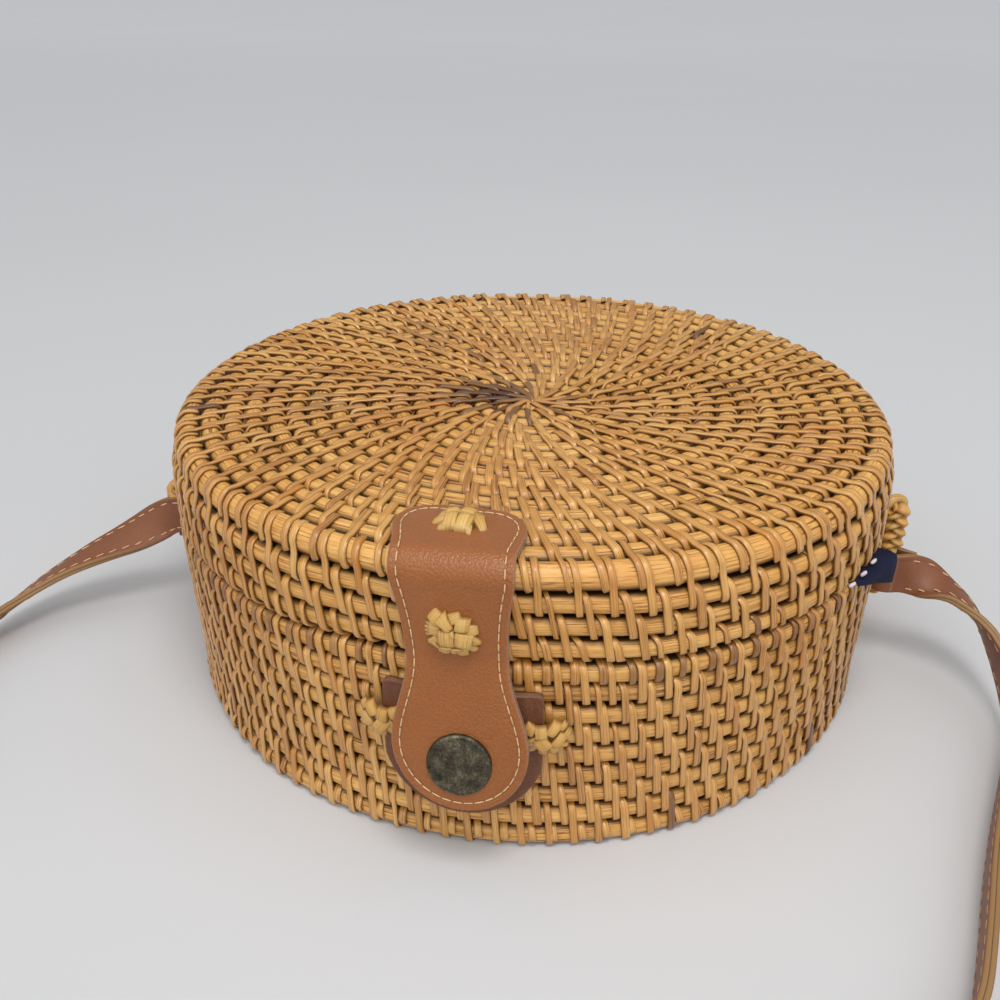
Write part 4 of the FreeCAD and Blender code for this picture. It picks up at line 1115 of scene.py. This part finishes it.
topFolds = [
    (-4.5, 0.1, 188, 3.9, 2.8, -0.10, 0.55, -0.35), (-1.9, -1.2, 92, 4.8, 3.0, 0.45, 0.0, 0.55),
    (1.3, -1.5, 82, 5.0, 3.5, 0.50, 0.0, 0.55), (-2.1, 2.7, 20, 3.4, 3.0, 0.75, 0.0, 0.0),
    (1.4, 2.8, -12, 3.6, 3.0, 0.75, 0.0, 0.0), (4.5, 0.0, -62, 5.4, 3.2, 0.10, 0.5, -0.45),
    (3.7, 2.7, 30, 2.8, 2.6, 0.15, 0.3, 0.0), (-3.8, 2.1, 150, 2.6, 2.6, 0.10, 0.3, 0.0),
    (-3.4, -2.4, -130, 2.6, 2.4, -0.5, 0.5, -0.2), (2.6, -3.6, -66, 2.2, 2.4, -0.4, 0.8, -0.3),
    (0.0, 4.4, 90, 2.4, 3.4, 0.0, 0.3, 0.0),
]
tabFolds = [
    (-4.4, 2.7, 60, 3.2, 3.0, 0.45, 0.0, 0.0), (-1.5, 2.2, 95, 3.4, 3.4, 0.95, 0.1, 0.0),
    (1.7, 3.2, 62, 4.2, 2.9, 0.70, 0.0, 0.0), (-0.9, -1.3, -52, 4.6, 3.9, 0.85, 0.1, 0.1),
    (3.2, -0.5, 60, 4.8, 2.8, 0.55, 0.2, 0.1), (5.0, 0.9, 56, 3.8, 2.0, 0.15, 0.3, 0.2),
    (-4.0, -1.3, 200, 3.6, 3.0, 0.15, 0.4, 0.1), (-3.7, -3.3, -132, 2.9, 2.5, -0.05, 0.5, 0.2),
    (-0.9, -4.0, -90, 2.8, 3.1, -0.05, 0.4, 0.2), (2.1, -3.5, -60, 2.9, 2.8, -0.05, 0.5, 0.2),
    (4.4, -2.2, -20, 2.8, 2.4, -0.10, 0.6, 0.2), (4.3, 3.4, 40, 2.4, 2.2, -0.10, 0.4, 0.0),
]
foldSteps = np.array([-1, -1, -0.93, -0.6, -0.2, 0.2, 0.6, 0.93, 1, 1])
foldLook = {
    "shrink": 0.95, "high": 1.7, "wobble": 4, "lean": 0.10, "dome": 2.3, "domeReach": 50.0, "sink": 0.35,
    "endDrop": 0.09, "sideDrop": 0.06,
}
knotHeart = [(3.7, 0.0), (3.5, 0.6), (2.8, 1.1), (1.5, 1.3), (0.0, 1.4)]


def foldShape(length, width, taper, tilt):
    s, t = np.meshgrid(foldSteps, foldSteps, indexing="ij")
    side = np.zeros_like(s)
    side[[0, -1]] = 1
    side[:, [0, -1]] = 1
    across = t * width / 2 * (1 - taper * (s + 1) / 2)
    ends, sides = foldLook["endDrop"], foldLook["sideDrop"]
    rise = tilt * s - ends * length * s ** 4 - sides * width * t ** 2 - foldLook["high"] * side
    return s * length / 2, across, rise, side


def makeKnot(name, at, across, up, outward, radius, seed, orange, folds, mirror):
    local = np.random.default_rng(seed)
    at, across, up, outward = (np.array(v, float) for v in (at, across, up, outward))
    scale, steps, shrink, sets = radius / 6.0, len(foldSteps), foldLook["shrink"], []
    for x, y, turn, length, width, lift, taper, tilt in folds:
        angle = math.radians((turn if mirror > 0 else 180 - turn) + local.normal(0, foldLook["wobble"]))
        along, wide, rise, side = foldShape(shrink * length, shrink * width, taper, tilt)
        rise = rise + local.normal(0, foldLook["lean"]) * wide
        px = mirror * x + math.cos(angle) * along - math.sin(angle) * wide
        py = y + math.sin(angle) * along + math.cos(angle) * wide
        dome = np.sqrt(np.maximum(1 - (px ** 2 + py ** 2) / foldLook["domeReach"], 0.02))
        high = foldLook["dome"] * dome + lift - foldLook["sink"] + rise
        px, py, high = (v[..., None] * scale for v in (px, py, high))
        verts = (at + px * across + py * up + high * outward).reshape(-1, 3)
        fibre = triples(along * mm, wide, local.uniform(0, 60))
        border = np.maximum(np.abs(along / length), np.abs(wide / width)) > 0.44
        # painted shade on the folds' lowered sides and borders and on the low folds lying under others
        shade = np.clip(0.9 * side + 0.20 * border + 0.10 * (lift < 0.2), 0, 0.95)
        tone = triples(local.uniform(0.35, 0.75), shade, orange * local.uniform(0.2, 1.0))
        sets.append((verts, gridQuads(steps, steps), fibre, tone))
    heart = [(max(r * scale, 0.02), z * scale) for r, z in knotHeart]
    return joinSets(name, sets, palmStrip), turned(name + "_core", heart, at, outward, 32, knotCore)


topAt = flapMiddle(flap["topKnotAt"], flap["thick"] / 2)
frontAt = flapMiddle(flapHinge - flap["frontKnotUp"], flap["thick"] / 2)
knots = [
    ("flap_knot_top", topAt, (1, 0, 0), (0, 1, 0), (0, 0, 1), 6.0, 3, 0.08, topFolds, 1, "lid"),
    ("flap_knot_front", frontAt, (1, 0, 0), (0, 0, 1), (0, -1, 0), 6.0, 4, 0.10, frontFolds, 1, "lid"),
]
for node, sign, seed in (("tab_knot_left", -1, 8), ("tab_knot_right", 1, 9)):
    angle = math.radians(sign * tab["knotAngle"])
    c, s, out = math.cos(angle), math.sin(angle), tab["knotOut"]
    knots.append((node, (out * s, -out * c, tab["knotAt"]), (c, s, 0), (0, 0, 1), (s, -c, 0),
                  5.2, seed, 0.35, tabFolds, sign, "base"))
for node, *shape, body in knots:
    for piece in makeKnot(node + "_palm", *shape):
        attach(piece, body)
    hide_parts(node)
print("clasp made")


# cloth inside, the stays' folds and the fold pinched out of the seam
cloth = {
    "stayAngle": 66.5, "stayHalf": 11.0, "stayRadius": 92.0, "stayDepth": 8.55, "stayFolds": 12,
    "stayRise": 1.03, "stayFrom": 47.4,
    "base": [(0.5, 7.1), (91.6, 7.1), (92.9, 8.2), (93.1, 51.5)],
    "lid": [(0.5, 71.5), (91.6, 71.5), (92.9, 70.4), (93.1, 55.9)],
}


def clothCup(name, profile, seed):
    local = np.random.default_rng(seed)
    phi = circle(200)[:, None]
    line = evenly(np.array(profile, float), 3.0)[0]
    ripple = waver(local, phi, 0.10, (5, 9, 14, 23, 31))
    wall = np.interp(line[:, 0], [80, 92], [0.0, 1.0])
    r = line[:, 0] - np.abs(ripple) * wall
    z = line[:, 1] + 0.06 * np.sin(7 * phi) * (1 - wall)
    return quadMesh(name, polar(r, phi, z), gridQuads(len(phi), len(line), True), navyCotton)


linings = [clothCup(body + "_lining_cloth", cloth[body], seed) for body, seed in (("base", 3), ("lid", 4))]
for piece, body, size, area in zip(linings, ("base", "lid"), (0.28, 0.22), (0.0535, 0.0363)):
    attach(piece, body)
    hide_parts(body + "_lining")


def makeStay(side, sign):
    r, deep, folds, rise, low = (cloth["stay" + key] for key in ("Radius", "Depth", "Folds", "Rise", "From"))
    line = [(r, 41.0), (r, 44.0), (r - 0.3, 46.6)]
    for i in range(folds):
        line.append((r - deep + 0.3 * (i % 3), low + rise * i))
        if i < folds - 1:
            line.append((r - 0.8 - 0.2 * (i % 2), low + rise * (i + 0.5)))
    line = smoothPath(line + [(r - 0.3, 60.6), (r, 63.5), (r, 66.5)], 240)
    across = np.linspace(-cloth["stayHalf"], cloth["stayHalf"], 9)
    verts = np.array([[[*around(sign * cloth["stayAngle"], r, a), z] for a in across] for r, z in line])
    return quadMesh("lid_stay_cloth_" + side, verts, gridQuads(len(line), len(across)), navyCotton)


for side, sign in (("left", -1), ("right", 1)):
    stay = makeStay(side, sign)
    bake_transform(stay)
    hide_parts("lid_stay_" + side)


hem = {
    "radius": 101.9, "height": 52.9, "arc": 21.0, "reach": (0.9, 4.0), "drop": (0.6, 8.2), "inside": 5.5,
    "lift": 2.5, "rows": 25, "columns": 56,
    "profile": [  # out of the seam and down: shares of the reach and the drop
        (-1.0, 0.10), (-0.3, 0.10), (0.35, 0.06), (0.8, -0.04), (0.97, -0.14), (1.02, -0.42), (1.0, -0.8),
        (0.98, -1.0), (0.90, -1.03), (0.84, -0.9), (0.82, -0.5), (0.76, -0.22), (0.5, -0.10), (-0.3, -0.04),
        (-1.0, -0.04),
    ],
    "threadAngles": [58.4, 62.2, 66.4], "threadOut": 0.9, "threadUp": 1.7, "thread": (2.1, 1.2, 0.9),
}


def makeFold():
    rows, columns = hem["rows"], hem["columns"]
    out, down = smoothPath(hem["profile"], columns).T
    verts = np.zeros((rows, columns, 3))
    for i, t in enumerate(np.linspace(0, 1, rows)):
        angle = cloth["stayAngle"] + math.degrees((t - 0.5) * hem["arc"] / hem["radius"])
        reach = hem["reach"][0] + hem["reach"][1] * t ** 0.8 + 0.25 * math.sin(9 * t)
        drop = hem["drop"][0] + hem["drop"][1] * t ** 1.25
        r = hem["radius"] + np.maximum(out, 0) * reach + hem["inside"] * np.minimum(out, 0)
        verts[i, :, :2] = [around(angle, radius) for radius in r]
        verts[i, :, 2] = hem["height"] + drop * np.minimum(down, 0) + hem["lift"] * np.maximum(down, 0)
    return quadMesh("lid_stay_fold", verts, gridQuads(rows, columns), navyCotton)


def makeHemThreads():
    angles = hem["threadAngles"]
    out = np.array([[*around(a, 1.0), 0.0] for a in angles])
    centres = out * (hem["radius"] + hem["threadOut"]) + np.array([0, 0, hem["height"] + hem["threadUp"]])
    alongs = unit(np.array([[*around(a, 0.35, 1.0), 0.3] for a in angles]))
    normals = unit(np.cross(np.cross(alongs, out), alongs))
    return stitchRow("lid_stay_threads", centres, alongs, normals, hem["thread"], threadPale)


fold = makeFold()
hemThreads = makeHemThreads()
for piece in (fold, hemThreads):
    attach(piece, "base")


# hinge lacing: strips over the seam as (radius, height)
lacing = {
    "angle": 14, "strips": 6, "pitch": 2.3, "slant": 0.5, "width": 1.9, "thick": 0.9, "rows": 33,
    "path": [(98.0, 46.4), (99.2, 46.5), (100.6, 48.2), (100.9, 50.6), (100.85, 53.7), (100.9, 56.8),
             (100.6, 59.2), (99.2, 60.9), (98.0, 61.0)],
}


def makeLacing(side, sign):
    local = np.random.default_rng(40 + (sign > 0))
    rows, sets = lacing["rows"], []
    line = smoothPath(lacing["path"], rows)
    slant = np.linspace(-1, 1, rows) * lacing["slant"]
    width, thick = np.array([lacing["width"]]), np.array([lacing["thick"]])
    for i in range(lacing["strips"]):
        aside = (i - (lacing["strips"] - 1) / 2) * lacing["pitch"]
        angle = 180 + (sign * lacing["angle"] + math.degrees(aside / basket["radius"]))
        path = np.array([[*around(angle, r, lean), z] for (r, z), lean in zip(line, slant)])
        lateral = np.tile([*around(angle, 0, 1.0), 0.0], (1, rows, 1))
        verts = ribbons(path[None], lateral, width, thick).reshape(-1, 3)
        fibre = triples(np.linspace(0, 0.016, rows)[:, None], stripOutline[:, 0] * 2.5, i * 3.3)
        tone = np.tile([local.uniform(0.4, 0.7), 0, 0.1 * (i % 2)], (rows * stripSides, 1))
        sets.append((verts, gridQuads(rows, stripSides, False, True), fibre, tone))
    return joinSets("hinge_lacing_strips_" + side, sets, stripRattan)


for side, sign in (("left", -1), ("right", 1)):
    laced = makeLacing(side, sign)
    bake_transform(laced)
    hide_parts("hinge_lacing_" + side)
print("cloth and hinge made")


# stage
stage = {
    "floor": (0.772, 0.778, 0.790), "floorBox": (-9000, -3000, 9000, 15000), "dim": 0.22, "bright": 0.98,
    "sky": (0.97, 0.98, 1.0, 1),
    "lights": [  # name, place, aim, size, power, colour
        ("keySoft", (0.10, -1.25, 1.35), (0, -0.05, 0.03), 1.4, 6.5, (1.0, 0.985, 0.96)),
        ("nearSoft", (0.12, -0.30, 0.75), (0.03, -0.12, 0), 0.24, 1.9, (1.0, 0.985, 0.96)),
        ("topSoft", (0.35, 0.15, 1.9), (0, 0, 0.03), 1.2, 1.0, (1.0, 0.99, 0.97)),
    ],
}


def floorFinish():
    made = newMaterial("floorMaterial")
    tree = made[1]
    place = objectPlace(tree)
    pale = stage["floor"]
    near = ramp(tree, noise(tree, place, 3.0, 3.0), [(0.3, tuple(0.985 * c for c in pale)), (0.7, pale)])
    far = addNode(tree, "SeparateXYZ", i0=place).outputs[1]  # the backdrop pales with distance
    away = addNode(tree, "MapRange", Value=far, i1=0.05, i2=2.6).outputs[0]
    paler = ramp(tree, away, [(at, (grey,) * 3) for at, grey in ((0.0, 0.80), (0.22, 0.885), (1.0, 1.0))])
    colour = mixColour(tree, 1.0, near, paler, "MULTIPLY")
    return dress(made, {"Base Color": colour, "Roughness": 0.65, "Specular IOR Level": 0.2})


x0, y0, x1, y1 = stage["floorBox"]
floor = quadMesh("floor", [(x0, y0, 0), (x1, y0, 0), (x1, y1, 0), (x0, y1, 0)], [(0, 1, 2, 3)], floorFinish())

for name, at, aim, size, power, colour in stage["lights"]:
    data = bpy.data.lights.new(name, "AREA")
    data.shape = "DISK"
    data.size = size
    data.energy = power
    data.color = colour
    lamp = bpy.data.objects.new(name, data)
    scene.collection.objects.link(lamp)
    lamp.location = at
    lamp.rotation_euler = (Vector(aim) - Vector(at)).to_track_quat("-Z", "Y").to_euler()

world = bpy.data.worlds.new("world")
scene.world = world
world.use_nodes = True
skyTree = world.node_tree
sky = skyTree.nodes["Background"]
sky.inputs[0].default_value = stage["sky"]
way = addNode(skyTree, "SeparateXYZ", i0=addNode(skyTree, "TexCoord").outputs["Generated"]).outputs
facing = maths(skyTree, "MULTIPLY_ADD", way[1], -0.65, maths(skyTree, "MULTIPLY_ADD", way[2], 0.5, 0.35))
level = addNode(skyTree, "MapRange", Value=facing, i3=stage["dim"], i4=stage["bright"])  # darker behind
plug(skyTree, sky, {"i1": level.outputs[0]})
scene.view_settings.view_transform = "Standard"
print("stage lit")

for name in ("snap_socket", "snap_stud"):
    nodes[name].data.materials.clear()
    nodes[name].data.materials.append(bronze)
